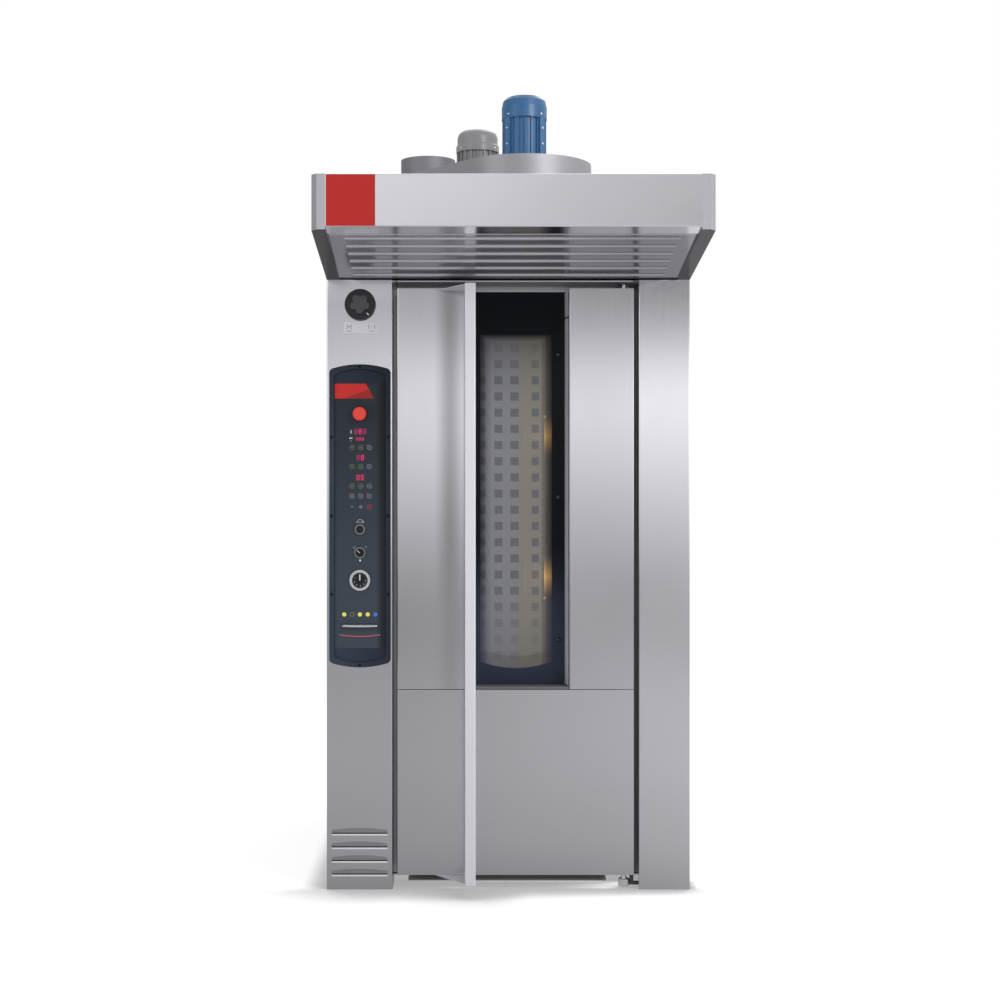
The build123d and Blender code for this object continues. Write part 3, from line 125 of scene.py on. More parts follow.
def mottled(spots, colour, low, high):
    # the colour times low between the spots and times high on them
    ends = [(*[value * factor for value in colour[:3]], 1) for factor in (low, high)]
    return blendColours(spots, *ends)


def objectPlace():
    return addNode("TexCoord").outputs["Object"]


def placeOn(axis):
    # place along an axis of the solid: 0 for x, 1 for y, 2 for z
    return addNode("SeparateXYZ", {0: objectPlace()}).outputs[axis]


def normalOn(axis):
    return addNode("SeparateXYZ", {0: addNode("NewGeometry").outputs["Normal"]}).outputs[axis]


def speckle(scale, stretch=(1, 1, 1), detail=3, roughness=0.5):
    # a noise over the solid itself; stretch is in cycles, so a small number draws the grain out
    spread = addNode("Mapping", {"Vector": objectPlace(), "Scale": stretch})
    return addNode("TexNoise", {"Vector": spread.outputs[0], "Scale": scale, "Detail": detail,
                                "Roughness": roughness}).outputs["Fac"]


def beside(start, end, axis=0):
    # 1 midway between two places along an axis, 0 outside them, with soft edges
    fromMiddle = gap(placeOn(axis), (start + end) / 2)
    return remap(fromMiddle, 0.0, 1.0, abs(end - start) / 2, 0.0, True)


def levelRamp(value, levels, scale=1.0):
    # a grey that follows the value; levels are (value, level) in rising order
    ramp = addNode("ValToRGB", {0: value})
    stops = ramp.color_ramp.elements
    stops[0].position, stops[1].position = levels[0][0], levels[-1][0]
    for middle in levels[1:-1]:
        stops.new(middle[0])
    for stop, level in zip(stops, levels):
        stop.color = (*[level[1] * scale] * 3, 1)
    return ramp.outputs[0]


def addBump(shader, height, strength, depth):
    bump = addNode("Bump", {"Height": height, "Strength": strength, "Distance": depth})
    feed(shader, {"Normal": bump.outputs[0]})


# sheet steel: brushed grain, faint handling marks and a bump you only see close up, with painted shade and
# light on some of its faces

steelFinish = {
    "grainScale": 1.0, "alongGrain": 5, "acrossGrain": 620, "grainContrast": 0.015, "grainPolish": 0.03,
    "markScale": 2.6, "markContrast": 0.02, "markPolish": 0.035,
    "bumpStrength": 0.03, "bumpDepth": 0.00006,
    # stripFoot is the share of the painted shade band at its foot z
    "seamReach": 0.003, "seamDepth": 0.6, "stripFoot": 0.35,
    # for the painted shade and light by facing: part of the normal at which a face is wholly turned that way,
    # and at which it no longer is
    "downward": (-0.2, -0.06), "upward": (0.7, 0.2), "forward": (-0.75, -0.2),
}
steelTones = {
    # painted shade on the left column's faces that look down and up
    "columnLeft": {"colour": (201, 200, 206), "roughness": 0.13, "paintedUnderShade": 0.76, "paintedUpShade": 0.12,
                   "edge": 0.25},
    "columnRight": {"colour": (203, 202, 208), "roughness": 0.11},
    # painted shade: a band beside the handle, where the panel mirrors the handle's shaded side
    "doorLeft": {"colour": (199, 198, 204), "roughness": 0.12, "paintedShadeStrip": (-0.250, -0.136, 0.57, 0.85, 1.25)},
    "doorRight": {"colour": (193, 192, 198), "roughness": 0.12},
    "doorLower": {"colour": (196, 195, 201), "roughness": 0.14},
    "handle": {"colour": (233, 232, 239), "roughness": 0.58},
    # painted light: the fascia is brightened, more on its left
    "hoodFace": {"colour": (215, 214, 220), "roughness": 0.15, "grain": "x",
                 "across": (-0.15, 1.2, 0.35, 1.11)},
    # painted shade on the cheeks' faces that look down
    "hoodCheek": {"colour": (199, 198, 204), "roughness": 0.24, "paintedUnderShade": 0.19, "edge": 0.62},
    # painted shade: a dark band by the door's left edge, and the frame darkened in the gap on the right
    "frameSheet": {"colour": (190, 190, 194), "roughness": 0.35, "paintedShadeStrip": (-0.3765, -0.3655, 0.25, -1.0, 0.0),
                   "across": (0.408, 1.0, 0.414, 0.4)},
    "cabinetSheet": {"colour": (196, 196, 200), "roughness": 0.3},
    "outerSheet": {"colour": (196, 196, 200), "roughness": 0.3,
                   "seams": ((1, 0.155), (0, 0.0), (2, 0.09), (2, 1.94))},
    "chamberSheet": {"colour": (190, 190, 193), "roughness": 0.32},
    # painted light on the baffle's faces that look forward, and painted shade towards its right
    "baffle": {"colour": (151, 150, 156), "roughness": 0.17, "grain": "x", "contrast": 0.6, "paintedFrontLight": 1.75,
               "across": (0.0, 1.0, 0.4, 0.74), "metallic": 0.7},
}


def brushedSteel(name, colour, roughness, grain="z", contrast=1.0, paintedUnderShade=1.0, paintedUpShade=1.0, paintedFrontLight=1.0,
                 paintedShadeStrip=None, across=None, seams=(), metallic=1.0, edge=1.0):
    # the three levels after contrast are painted shade and light on the faces that look down, up or forward,
    # the strip is (start x, end x, level, foot z, head z) of a band of painted shade that comes in with
    # height, across is (start x, level, end x, level) of a painted change of light over the width, seams are
    # (axis, place) of the joints between sheets, and edge is how bright the sheet mirrors at a flat angle
    finish = steelFinish
    colour = tint(*colour)
    material, shader = newMaterial(name, colour, roughness, metallic)
    stretch = [finish["acrossGrain"]] * 3
    stretch["xyz".index(grain)] = finish["alongGrain"]
    lines = speckle(finish["grainScale"], stretch, 4, 0.65)
    marks = speckle(finish["markScale"], (1, 1, 0.6), 5, 0.6)
    lineShift, markShift = finish["grainContrast"] * contrast, finish["markContrast"]
    factors = [remap(lines, 1 - lineShift, 1 + lineShift), remap(marks, 1 - markShift, 1 + markShift)]
    # painted shade and light: faces that look down, up or forward are made darker or lighter
    for level, axis, way in ((paintedUnderShade, 2, "downward"), (paintedUpShade, 2, "upward"), (paintedFrontLight, 1, "forward")):
        if level != 1:
            factors.append(remap(normalOn(axis), level, 1.0, *finish[way]))
    # painted shade: a darker band, stronger with height
    if paintedShadeStrip:
        start, end, level, foot, head = paintedShadeStrip
        rise = remap(placeOn(2), finish["stripFoot"], 1.0, foot, head, True)
        depth = calc("MULTIPLY", beside(start, end), rise, 1 - level)
        factors.append(calc("SUBTRACT", 1.0, depth))
    for axis, place in seams:
        seam = beside(place - finish["seamReach"], place + finish["seamReach"], axis)
        factors.append(calc("SUBTRACT", 1.0, calc("MULTIPLY", seam, finish["seamDepth"])))
    # painted light and shade: a slow change of brightness over the width
    if across:
        start, first, end, last = across
        factors.append(remap(placeOn(0), first, last, start, end, True))
    linePolish, markPolish = finish["grainPolish"], finish["markPolish"]
    polish = calc("ADD", remap(lines, -linePolish, linePolish),
                  remap(marks, -markPolish, markPolish), roughness)
    feed(shader, {"Base Color": dulled(colour, calc("MULTIPLY", *factors)),
                  "Roughness": polish, "Specular Tint": (edge, edge, edge, 1)})
    addBump(shader, lines, finish["bumpStrength"], finish["bumpDepth"])
    return material


def galvanisedSheet(name, colour, roughness):
    # zinc spangle: small crystals of slightly different brightness
    material, shader = newMaterial(name, colour, roughness, 0.7)
    crystals = addNode("TexVoronoi", {"Vector": objectPlace(), "Scale": 95.0}).outputs
    tone = addNode("SeparateColor", {0: crystals["Color"]}).outputs[0]
    feed(shader, {"Base Color": dulled(colour, remap(tone, 0.965, 1.03)),
                  "Roughness": remap(tone, roughness - 0.03, roughness + 0.04)})
    addBump(shader, crystals["Distance"], 0.03, 0.0001)
    return material


def paintedMetal(name, colour, roughness, dust=0.12):
    # sprayed enamel with orange peel and a little dust on the upward side
    material, shader = newMaterial(name, colour, roughness)
    blotch = speckle(14, detail=4)
    dusty = calc("MULTIPLY", calc("MAXIMUM", normalOn(2), 0.0), blotch, dust)
    toned = mottled(blotch, colour, 0.93, 1.06)
    feed(shader, {"Base Color": blendColours(dusty, toned, tint(176, 174, 168)),
                  "Roughness": remap(blotch, roughness - 0.07, roughness + 0.08),
                  "Coat Weight": 0.25, "Coat Roughness": 0.2})
    addBump(shader, speckle(340, detail=2), 0.12, 0.0002)
    return material


def mouldedPlastic(name, colour, roughness, grainScale=900, bump=0.15, coat=0.0, gloss=0.5):
    material, shader = newMaterial(name, colour, roughness)
    cloud = speckle(9, detail=4)
    feed(shader, {"Base Color": mottled(cloud, colour, 0.92, 1.09),
                  "Roughness": remap(cloud, roughness - 0.05, roughness + 0.06),
                  "Specular IOR Level": gloss, "Coat Weight": coat, "Coat Roughness": 0.08})
    addBump(shader, speckle(grainScale, detail=2), bump, 0.0001)
    return material


def polishedMetal(name, colour, roughness):
    material, shader = newMaterial(name, colour, roughness, 1.0)
    smear = speckle(40, detail=4)
    feed(shader, {"Base Color": mottled(smear, colour, 0.93, 1.0),
                  "Roughness": remap(smear, roughness * 0.6, roughness * 1.5)})
    return material


def heatStainedSteel(name, colour, roughness):
    # steel that has been hot: straw and blue tempering in soft clouds
    material, shader = newMaterial(name, colour, roughness, 1.0)
    clouds = speckle(5, detail=5)
    ramp = addNode("ValToRGB", {0: clouds})
    stops = ramp.color_ramp.elements
    stops[0].position, stops[0].color = 0.32, tint(96, 84, 70)
    stops[1].position, stops[1].color = 0.7, tint(126, 128, 134)
    stops.new(0.5).color = tint(134, 118, 92)
    feed(shader, {"Base Color": ramp.outputs[0],
                  "Roughness": remap(clouds, roughness - 0.1, roughness + 0.1)})
    return material


def mineralWool(name, colour):
    material, shader = newMaterial(name, colour, 0.95)
    fibres = speckle(60, (1, 1, 6), 6, 0.7)
    feed(shader, {"Base Color": mottled(fibres, colour, 0.55, 1.3)})
    addBump(shader, fibres, 0.8, 0.003)
    return material


def glowing(name, colour, strength):
    material, shader = newMaterial(name, colour, 0.4)
    cells = speckle(260, detail=2)
    feed(shader, {"Emission Color": colour,
                  "Emission Strength": remap(cells, strength * 0.85, strength * 1.15)})
    return material


def inkPrint(name, colour, roughness=0.45):
    material, shader = newMaterial(name, colour, roughness)
    feed(shader, {"Base Color": mottled(speckle(420, detail=3), colour, 0.88, 1.05),
                  "Specular IOR Level": 0.15})
    return material


def clearGlass(name):
    material, shader = newMaterial(name, tint(236, 240, 240), 0.02)
    feed(shader, {"Transmission Weight": 1.0, "IOR": 1.45,
                  "Roughness": remap(speckle(30, detail=4), 0.01, 0.06)})
    return material


steel = {name: brushedSteel(name + "Steel", **tone) for name, tone in steelTones.items()}
zincSheet = galvanisedSheet("zincSheet", tint(163, 162, 167), 0.5)
collarZinc = galvanisedSheet("collarZinc", tint(138, 137, 142), 0.6)
blueEnamel = paintedMetal("blueEnamel", tint(38, 92, 140), 0.42)
motorBlue = paintedMetal("motorBlue", tint(51, 103, 151), 0.45)
greyEnamel = paintedMetal("greyEnamel", tint(132, 131, 135), 0.45)
blackenedSteel = paintedMetal("blackenedSteel", tint(38, 38, 41), 0.5)
floorPlate = paintedMetal("floorPlate", tint(236, 235, 233), 0.6)
machinedSteel = polishedMetal("machinedSteel", tint(176, 177, 180), 0.3)
chrome = polishedMetal("chromePlate", tint(228, 229, 232), 0.1)
ringChrome = polishedMetal("ringChrome", tint(240, 240, 243), 0.12)
hotSteel = heatStainedSteel("hotSteel", tint(130, 122, 108), 0.45)
woolFill = mineralWool("woolFill", tint(150, 132, 92))
bezelPlastic = mouldedPlastic("bezelPlastic", tint(46, 54, 69), 0.4, 700, 0.2, gloss=0.16)
membraneFilm = mouldedPlastic("membraneFilm", tint(54, 62, 72), 0.34, 1100, 0.12, gloss=0.2)
knobPlastic = mouldedPlastic("knobPlastic", tint(64, 64, 68), 0.2, 900, 0.04, 0.2, 0.35)
blackPlastic = mouldedPlastic("blackPlastic", tint(22, 25, 30), 0.3, 900, 0.08, 0.08, 0.25)
redPlastic = mouldedPlastic("redPlastic", tint(210, 54, 42), 0.42, 900, 0.08)
screwBlack = mouldedPlastic("screwBlack", tint(9, 9, 11), 0.5, 900, 0.05, gloss=0.1)
sealRubber = mouldedPlastic("sealRubber", tint(34, 34, 36), 0.75, 500, 0.3)
paleSeal = mouldedPlastic("paleSeal", tint(212, 211, 208), 0.6, 500, 0.2)


def shadeAlong(material, axis, start, end, level):
    # painted light and shade: take a finish to level times its brightness from start to end along an axis of
    # the solid
    shader = openNodes(material)["Principled BSDF"]
    factor = remap(placeOn(axis), 1.0, level, start, end, True)
    feed(shader, {"Base Color": dulled(shader.inputs["Base Color"].links[0].from_socket, factor)})


filmLow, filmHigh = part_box("control_membrane")
rimLow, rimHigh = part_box("control_bezel")
knobLow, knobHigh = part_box("damper_knob")
dialTop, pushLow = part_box("timer_dial")[1].z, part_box("selector_knob")[0].z
knobFace = knobLow.y + (knobHigh.y - knobLow.y) * 0.25
for material, axis, start, end, level in (
        # painted shade: the film darkens towards its right edge and its top, the bezel towards its right and
        # its top
        (membraneFilm, 0, filmHigh.x - 0.034, filmHigh.x - 0.008, 0.32),
        (membraneFilm, 2, filmLow.z + 0.1, filmHigh.z - 0.05, 0.5),
        (bezelPlastic, 0, rimLow.x + 0.02, rimHigh.x, 0.55),
        (bezelPlastic, 2, rimHigh.z - 0.4, rimHigh.z, 0.7),
        # painted shade: the rings above the dial's are darker than its own
        (ringChrome, 2, dialTop + 0.008, pushLow - 0.004, 0.3),
        # a little lighter where the hood takes the light away
        (steel["handle"], 2, 1.78, 1.96, 1.2),
        (steel["columnLeft"], 2, 1.92, 2.01, 1.2),
        # painted shade: the knob's skirt is darker than its lobes
        (knobPlastic, 1, knobFace - 0.003, knobFace + 0.003, 0.12)):
    shadeAlong(material, axis, start, end, level)

solidFinish = {
    "left_column_casing": steel["columnLeft"], "right_column_casing": steel["columnRight"],
    "door_left_panel": steel["doorLeft"], "door_right_panel": steel["doorRight"],
    "door_lower_panel": steel["doorLower"], "door_handle": steel["handle"],
    "hood_fascia": steel["hoodFace"], "hood_cheeks": steel["hoodCheek"], "hood_baffle": steel["baffle"],
    "front_frame": steel["frameSheet"], "side_panels": steel["outerSheet"], "rear_panel": steel["outerSheet"],
    "roof_panel": steel["cabinetSheet"], "hood_top_plate": steel["cabinetSheet"],
    "door_inner_pan": steel["cabinetSheet"], "flue_stub": steel["cabinetSheet"],
    "chamber_walls": steel["chamberSheet"], "chamber_ceiling": steel["chamberSheet"],
    "air_diffuser": steel["chamberSheet"], "chamber_floor": floorPlate,
    "base_pan": zincSheet, "extractor_housing": zincSheet, "exhaust_collar": collarZinc,
    "insulation": woolFill, "door_insulation": woolFill, "heater_bank": hotSteel, "steam_cascade": hotSteel,
    "gear_case": zincSheet, "extractor_motor": motorBlue, "extractor_cowl": blueEnamel,
    "gearmotor": greyEnamel, "gearmotor_cowl": greyEnamel, "circulation_motor": greyEnamel,
    "pivot_brackets": blackenedSteel, "hinge_pins": chrome, "hinge_bushes": chrome,
    "panel_grip": chrome, "control_rings": ringChrome, "control_bezel": bezelPlastic,
    "bezel_screws": screwBlack, "control_membrane": membraneFilm, "damper_knob": knobPlastic,
    "selector_knob": blackPlastic, "timer_dial": blackPlastic, "start_button": blackPlastic,
    "estop_button": redPlastic, "glass_nuts": blackPlastic, "door_gasket": sealRubber, "door_sweep": paleSeal,
}
for node in nodes:
    # shafts, gears and wheels are machined; the panes and lamps come later
    if not node.startswith("door_glass") and node != "door_lamps":
        solidFinish.setdefault(node, machinedSteel)


def dressNode(node, material):
    nodes[node].data.materials.clear()
    nodes[node].data.materials.append(material)


for node, material in solidFinish.items():
    dressNode(node, material)
print("finishes on", len(solidFinish), "solids")


# small tools for pieces; outlines are (x, z) points on an upright face

def circleOutline(x, z, radius, steps=32):
    turns = [2 * pi * step / steps for step in range(steps)]
    return [(x + radius * cos(turn), z + radius * sin(turn)) for turn in turns]


def boxOutline(x, z, width, height):
    return [(x + sideX * width / 2, z + sideZ * height / 2)
            for sideX, sideZ in ((-1, -1), (1, -1), (1, 1), (-1, 1))]


def roundedOutline(x, z, width, height, radius, steps=6):
    points = []
    for sideX, sideZ, start in ((1, 1, 0), (-1, 1, 90), (-1, -1, 180), (1, -1, 270)):
        cornerX, cornerZ = x + sideX * (width / 2 - radius), z + sideZ * (height / 2 - radius)
        for step in range(steps + 1):
            angle = radians(start + 90 * step / steps)
            points.append((cornerX + radius * cos(angle), cornerZ + radius * sin(angle)))
    return points


def strokeOutline(x, z, turn, inner, outer, width):
    # a bar between two distances from (x, z), pointing away from it
    angle = radians(turn)
    along, aside = (cos(angle), sin(angle)), (-sin(angle) * width / 2, cos(angle) * width / 2)
    return [(x + along[0] * reach + aside[0] * side, z + along[1] * reach + aside[1] * side)
            for reach, side in ((inner, -1), (outer, -1), (outer, 1), (inner, 1))]


def addSkin(shape, loops, colour=0, smooth=False, wrap=False):
    # faces from each loop of points to the next; wrap joins the last to the first, else the ends are capped
    loops = [[shape.verts.new(point) for point in loop] for loop in loops]
    faces = []
    for here, there in zip(loops, loops[1:] + loops[:1] if wrap else loops[1:]):
        for side in range(len(here)):
            following = (side + 1) % len(here)
            faces.append(shape.faces.new((here[side], here[following], there[following], there[side])))
            faces[-1].smooth = smooth
    if not wrap:
        faces += [shape.faces.new(loops[0]), shape.faces.new(loops[-1])]
    for face in faces:
        face.material_index = colour
    return faces


def addPrism(shape, outline, front, thickness, colour=0):
    # front is the y of the visible face; the prism goes back from it by thickness
    addSkin(shape, [[(x, y, z) for x, z in outline] for y in (front, front + thickness)], colour)


def addUpright(shape, outline, low, high):
    # outline is (x, y) points of a bar that stands from low to high
    addSkin(shape, [[(x, y, z) for x, y in outline] for z in (low, high)])


def addBlock(shape, low, high, colour=0):
    outline = [(low[0], low[2]), (high[0], low[2]), (high[0], high[2]), (low[0], high[2])]
    addPrism(shape, outline, low[1], high[1] - low[1], colour)


def addRing(shape, x, z, inner, outer, front, thickness, colour=0, steps=36, start=0, sweep=360):
    section = ((inner, front), (outer, front), (outer, front + thickness), (inner, front + thickness))
    closed = sweep == 360
    loops = []
    for step in range(steps if closed else steps + 1):
        angle = radians(start + sweep * step / steps)
        loops.append([(x + radius * cos(angle), y, z + radius * sin(angle)) for radius, y in section])
    addSkin(shape, loops, colour, wrap=closed)


def addTurned(shape, centre, axis, profile, colour=0, steps=32):
    # a solid of revolution; profile is (radius, distance along axis) from one end to the other
    axis = Vector(axis).normalized()
    across = axis.orthogonal().normalized()
    other = axis.cross(across)
    angles = [2 * pi * step / steps for step in range(steps)]
    loops = [[Vector(centre) + axis * along + (across * cos(angle) + other * sin(angle)) * radius
              for angle in angles] for radius, along in profile]
    addSkin(shape, loops, colour, smooth=True)


def addObject(name, data):
    thing = bpy.data.objects.new(name, data)
    bpy.context.scene.collection.objects.link(thing)
    return thing


def makePiece(name, shape, body, materials, bevel=0.0):
    bmesh.ops.recalc_face_normals(shape, faces=shape.faces)
    mesh = bpy.data.meshes.new(name)
    shape.to_mesh(mesh)
    shape.free()
    piece = addObject(name, mesh)
    for material in materials:
        mesh.materials.append(material)
    if bevel:
        rounding = piece.modifiers.new("rounding", "BEVEL")
        rounding.width = bevel
        rounding.segments = 2
        rounding.limit_method = "ANGLE"
        rounding.harden_normals = True
    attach(piece, body)
    return piece


def middleOf(node):
    low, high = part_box(node)
    return (low + high) / 2


# control panel: lit digits

panelX = middleOf("control_membrane").x
inkDepth = 0.0003
front = filmLow.y - inkDepth
litSegment = glowing("litSegment", tint(198, 8, 92), 0.62)
dimSegment = glowing("dimSegment", tint(138, 22, 78), 0.5)
displays = [
    # x from the panel's middle, z, digit width, digit height, pitch, digits, which of them are fully lit
    (0.0012, 1.5134, 0.0105, 0.0185, 0.0145, "180", (0, 1, 0)),
    (0.0005, 1.4886, 0.0068, 0.0108, 0.0094, "200", (1, 1, 1)),
    (0.0012, 1.4272, 0.0105, 0.0185, 0.0140, "18", (0, 1)),
    (0.0010, 1.3618, 0.0105, 0.0185, 0.0140, "05", (1, 1)),
]
# stroke is a share of the digit's width, the rest are shares of the stroke; lean is by full height
digit = {"stroke": 0.27, "thickness": 0.82, "shortening": 1.15, "lean": 0.0012}
segmentsOf = {"0": "abcdef", "1": "bc", "2": "abged", "5": "afgcd", "8": "abcdefg"}


def addDigit(shape, x, z, width, height, character, lit):
    stroke = width * digit["stroke"]
    halfWidth, quarter = (width - stroke) / 2, (height - stroke) / 4
    bars = {"a": (0, 2 * quarter, 1), "d": (0, -2 * quarter, 1), "g": (0, 0, 1),
            "b": (halfWidth, quarter, 0), "c": (halfWidth, -quarter, 0),
            "f": (-halfWidth, quarter, 0), "e": (-halfWidth, -quarter, 0)}
    for name, (shiftX, shiftZ, level) in bars.items():
        long = (width if level else height / 2) - stroke * digit["shortening"]
        thick = stroke * digit["thickness"]
        size = (long, thick) if level else (thick, long)
        glow = 0 if name in segmentsOf[character] and lit else 1
        lean = shiftZ / height * digit["lean"]
        addPrism(shape, boxOutline(x + shiftX + lean, z + shiftZ, *size), front, inkDepth, glow)


shape = bmesh.new()
for displayX, z, width, height, pitch, text, lit in displays:
    for place, character in enumerate(text):
        x = panelX + displayX + (place - (len(text) - 1) / 2) * pitch
        addDigit(shape, x, z, width, height, character, lit[place])
makePiece("displayDigits", shape, "cabinet", [litSegment, dimSegment])


# control panel: printed film with key marks

inks = {name: inkPrint(name + "Ink", tint(*colour)) for name, colour in {
    "white": (196, 200, 204), "grey": (150, 157, 165), "olive": (134, 139, 92), "red": (186, 46, 44),
    "darkRed": (146, 42, 38), "rose": (186, 84, 94), "yellow": (222, 212, 92),
    "blue": (74, 108, 196)}.items()}
inkPlaces = list(inks)
keypad = {
    "keyColumns": (-0.0259, 0.0027, 0.0313), "keyRadius": 0.0079, "keyLine": 0.0009, "markShare": 0.36,
    "keyRows": (1.4606, 1.3975, 1.3331, 1.3001), "lastRow": 1.2648, "triangle": 0.0056,
    "stickerLeft": -0.0838, "stickerRight": 0.0195, "stickerSlant": 0.0273,
    "stickerTop": 1.6712, "stickerBottom": 1.6222, "facetStart": 0.03, "facetHeight": 0.62, "facetSlant": 0.4,
    "curveZ": 0.8425, "curveSag": 0.0055, "curveHalf": 0.0672, "curveLine": 0.0030, "curveSteps": 24,
    "dotRowZ": 0.9095, "dotPitch": 0.0258, "dotRadius": 0.0069, "dotLine": 0.0012,
    "dots": ("yellow", "olive", "yellow", "yellow", "blue"),
}
shape = bmesh.new()


def printMark(outline, ink):
    addPrism(shape, outline, front, inkDepth, inkPlaces.index(ink))


def printRing(x, z, inner, outer, ink, *arc):
    addRing(shape, x, z, inner, outer, front, inkDepth, inkPlaces.index(ink), *arc)


stickerTop, stickerBottom = keypad["stickerTop"], keypad["stickerBottom"]
stickerLeft, stickerRight = panelX + keypad["stickerLeft"], panelX + keypad["stickerRight"]
stickerFoot = stickerRight + keypad["stickerSlant"]
printMark([(stickerLeft, stickerBottom), (stickerFoot, stickerBottom), (stickerRight, stickerTop),
           (stickerLeft, stickerTop)], "red")
facet = [(stickerLeft + keypad["facetStart"], stickerBottom), (stickerFoot, stickerBottom),
         (stickerRight + keypad["stickerSlant"] * keypad["facetSlant"],
          stickerBottom + (stickerTop - stickerBottom) * keypad["facetHeight"])]
addPrism(shape, facet, front - inkDepth / 2, inkDepth / 2, inkPlaces.index("darkRed"))

radius = keypad["keyRadius"]
mark = radius * keypad["markShare"]
for row, rowZ in enumerate(keypad["keyRows"]):
    for column, columnX in enumerate(keypad["keyColumns"]):
        x = panelX + columnX
        arrowKey = row < 3 and column < 2
        printRing(x, rowZ, radius - keypad["keyLine"], radius, "olive" if arrowKey else "grey")
        if arrowKey:
            way = -1 if column == 0 else 1      # down on the first column, up on the second
            printMark([(x - mark, rowZ - way * mark * 0.6), (x + mark, rowZ - way * mark * 0.6),
                       (x, rowZ + way * mark * 0.7)], "olive")
        else:
            for bar in (-1, 0, 1):
                printMark(boxOutline(x, rowZ + bar * mark * 0.75, mark * 1.6, mark * 0.3), "grey")
        if row == 3 or (row == 0 and column == 2):
            cornerX, cornerZ, size = x - radius * 0.9, rowZ + radius * 0.9, keypad["triangle"]
            printMark([(cornerX - size * 0.5, cornerZ + size * 0.5),
                       (cornerX + size * 0.2, cornerZ - size * 0.5), (cornerX + size * 0.6, cornerZ)], "red")

# single marks, placed from the panel's middle
lastRow = keypad["lastRow"]
leftKey, middleKey, rightKey = keypad["keyColumns"]
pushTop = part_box("start_button")[1].z + 0.0072
selector = middleOf("selector_knob")
for x, z, width, height, ink in (
        (leftKey, lastRow, 0.0085, 0.0016, "grey"),
        (rightKey, lastRow + 0.003, 0.0009, 0.0045, "red"),
        (-0.0300, 1.4915, 0.0100, 0.0034, "white"),
        (-0.0193, 1.4918, 0.0060, 0.0012, "red"),
        (0.0008, pushTop + 0.0046, 0.0245, 0.0009, "white")):
    printMark(boxOutline(panelX + x, z, width, height), ink)
for x, z, inner, outer, ink, *arc in (
        (middleKey, lastRow, 0.00445, 0.00525, "grey", 24),
        (middleKey, lastRow, 0.00195, 0.00275, "grey", 24),
        (rightKey, lastRow, 0.0071, 0.0081, "red"),
        (rightKey, lastRow, 0.0030, 0.0038, "red", 20, 120, 300),
        # turning arrow over the push button, circled marks over the selector
        (0.0008, pushTop, 0.0125, 0.0135, "white", 24, 20, 140),
        (-0.0178, selector.z + 0.0172, 0.0030, 0.0040, "grey"),
        (0.0188, selector.z + 0.0180, 0.0026, 0.0037, "grey", 20, -120, 260)):
    printRing(panelX + x, z, inner, outer, ink, *arc)
for z, points in (
        (pushTop, ((0.0085, 0.0066), (0.0150, 0.0046), (0.0085, 0.0026))),
        (selector.z, ((0.0008, -0.0300), (0.0042, -0.0250), (0.0008, -0.0205), (-0.0026, -0.0250)))):
    printMark([(panelX + across, z + up) for across, up in points], "white")
printMark(roundedOutline(panelX - 0.0293, 1.5122, 0.0042, 0.0125, 0.0015), "grey")
printMark(circleOutline(panelX - 0.0297, 1.4825, 0.0016, 12), "grey")
# coloured spots above the grip, the second one open, and the curved line below it
for place, ink in enumerate(keypad["dots"]):
    x = panelX + (place - 2) * keypad["dotPitch"]
    if place == 1:
        printRing(x, keypad["dotRowZ"], keypad["dotRadius"] - keypad["dotLine"], keypad["dotRadius"], ink)
    else:
        printMark(circleOutline(x, keypad["dotRowZ"], keypad["dotRadius"]), ink)
curve = []
for edge in (-1, 1):
    for step in range(keypad["curveSteps"] + 1):
        along = edge * (2 * step / keypad["curveSteps"] - 1)
        sag = keypad["curveSag"] * (along * along - 1) - edge * keypad["curveLine"] / 2
        curve.append((panelX + along * keypad["curveHalf"], keypad["curveZ"] + sag))
printMark(curve, "rose")
makePiece("panelPrints", shape, "cabinet", list(inks.values()))
print("control panel printed")


# timer numerals, pointer and rim ticks, and the selector's stripe

timer = {
    "numeralRadius": 0.0185, "numeralSize": 0.0070, "numeralDepth": 0.00015, "numeralProud": 0.00012,
    "firstAngle": 156, "step": -40, "count": 6, "discDepth": 0.0035,
    "rimTicks": 30, "tickShares": (0.92, 0.985), "tickWidth": 0.0006,
    "pointerRise": 0.0105, "pointerWidth": 0.0036, "pointerLength": 0.0200, "paint": 0.0002,
}
timerLow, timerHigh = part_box("timer_dial")
dial = middleOf("timer_dial")
timerRadius = (timerHigh.x - timerLow.x) / 2
timerFace = timerLow.y + timer["discDepth"]          # the disc under its raised pointer
for number in range(timer["count"]):
    angle = radians(timer["firstAngle"] - timer["step"] * number)
    name = "timerNumeral" + str(number + 1)
    text = bpy.data.curves.new(name, "FONT")
    text.body = str(number + 1)
    text.size = timer["numeralSize"]
    text.align_x, text.align_y = "CENTER", "CENTER"
    text.extrude = timer["numeralDepth"]
    text.materials.append(inks["white"])
    numeral = addObject(name, text)
    numeral.rotation_euler = (radians(90), 0, 0)
    numeral.location = (dial.x + timer["numeralRadius"] * cos(angle), timerFace - timer["numeralProud"],
                        dial.z + timer["numeralRadius"] * sin(angle))
    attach(numeral, "timer")
shape = bmesh.new()
outline = boxOutline(dial.x, dial.z + timer["pointerRise"], timer["pointerWidth"], timer["pointerLength"])
addPrism(shape, outline, timerLow.y - timer["paint"] / 2, timer["paint"])
inner, outer = [timerRadius * part for part in timer["tickShares"]]
for tick in range(timer["rimTicks"]):
    outline = strokeOutline(dial.x, dial.z, 360 * tick / timer["rimTicks"], inner, outer, timer["tickWidth"])
    addPrism(shape, outline, timerFace - timer["paint"] / 2, timer["paint"])
makePiece("timerPointerPaint", shape, "timer", [inks["white"]])

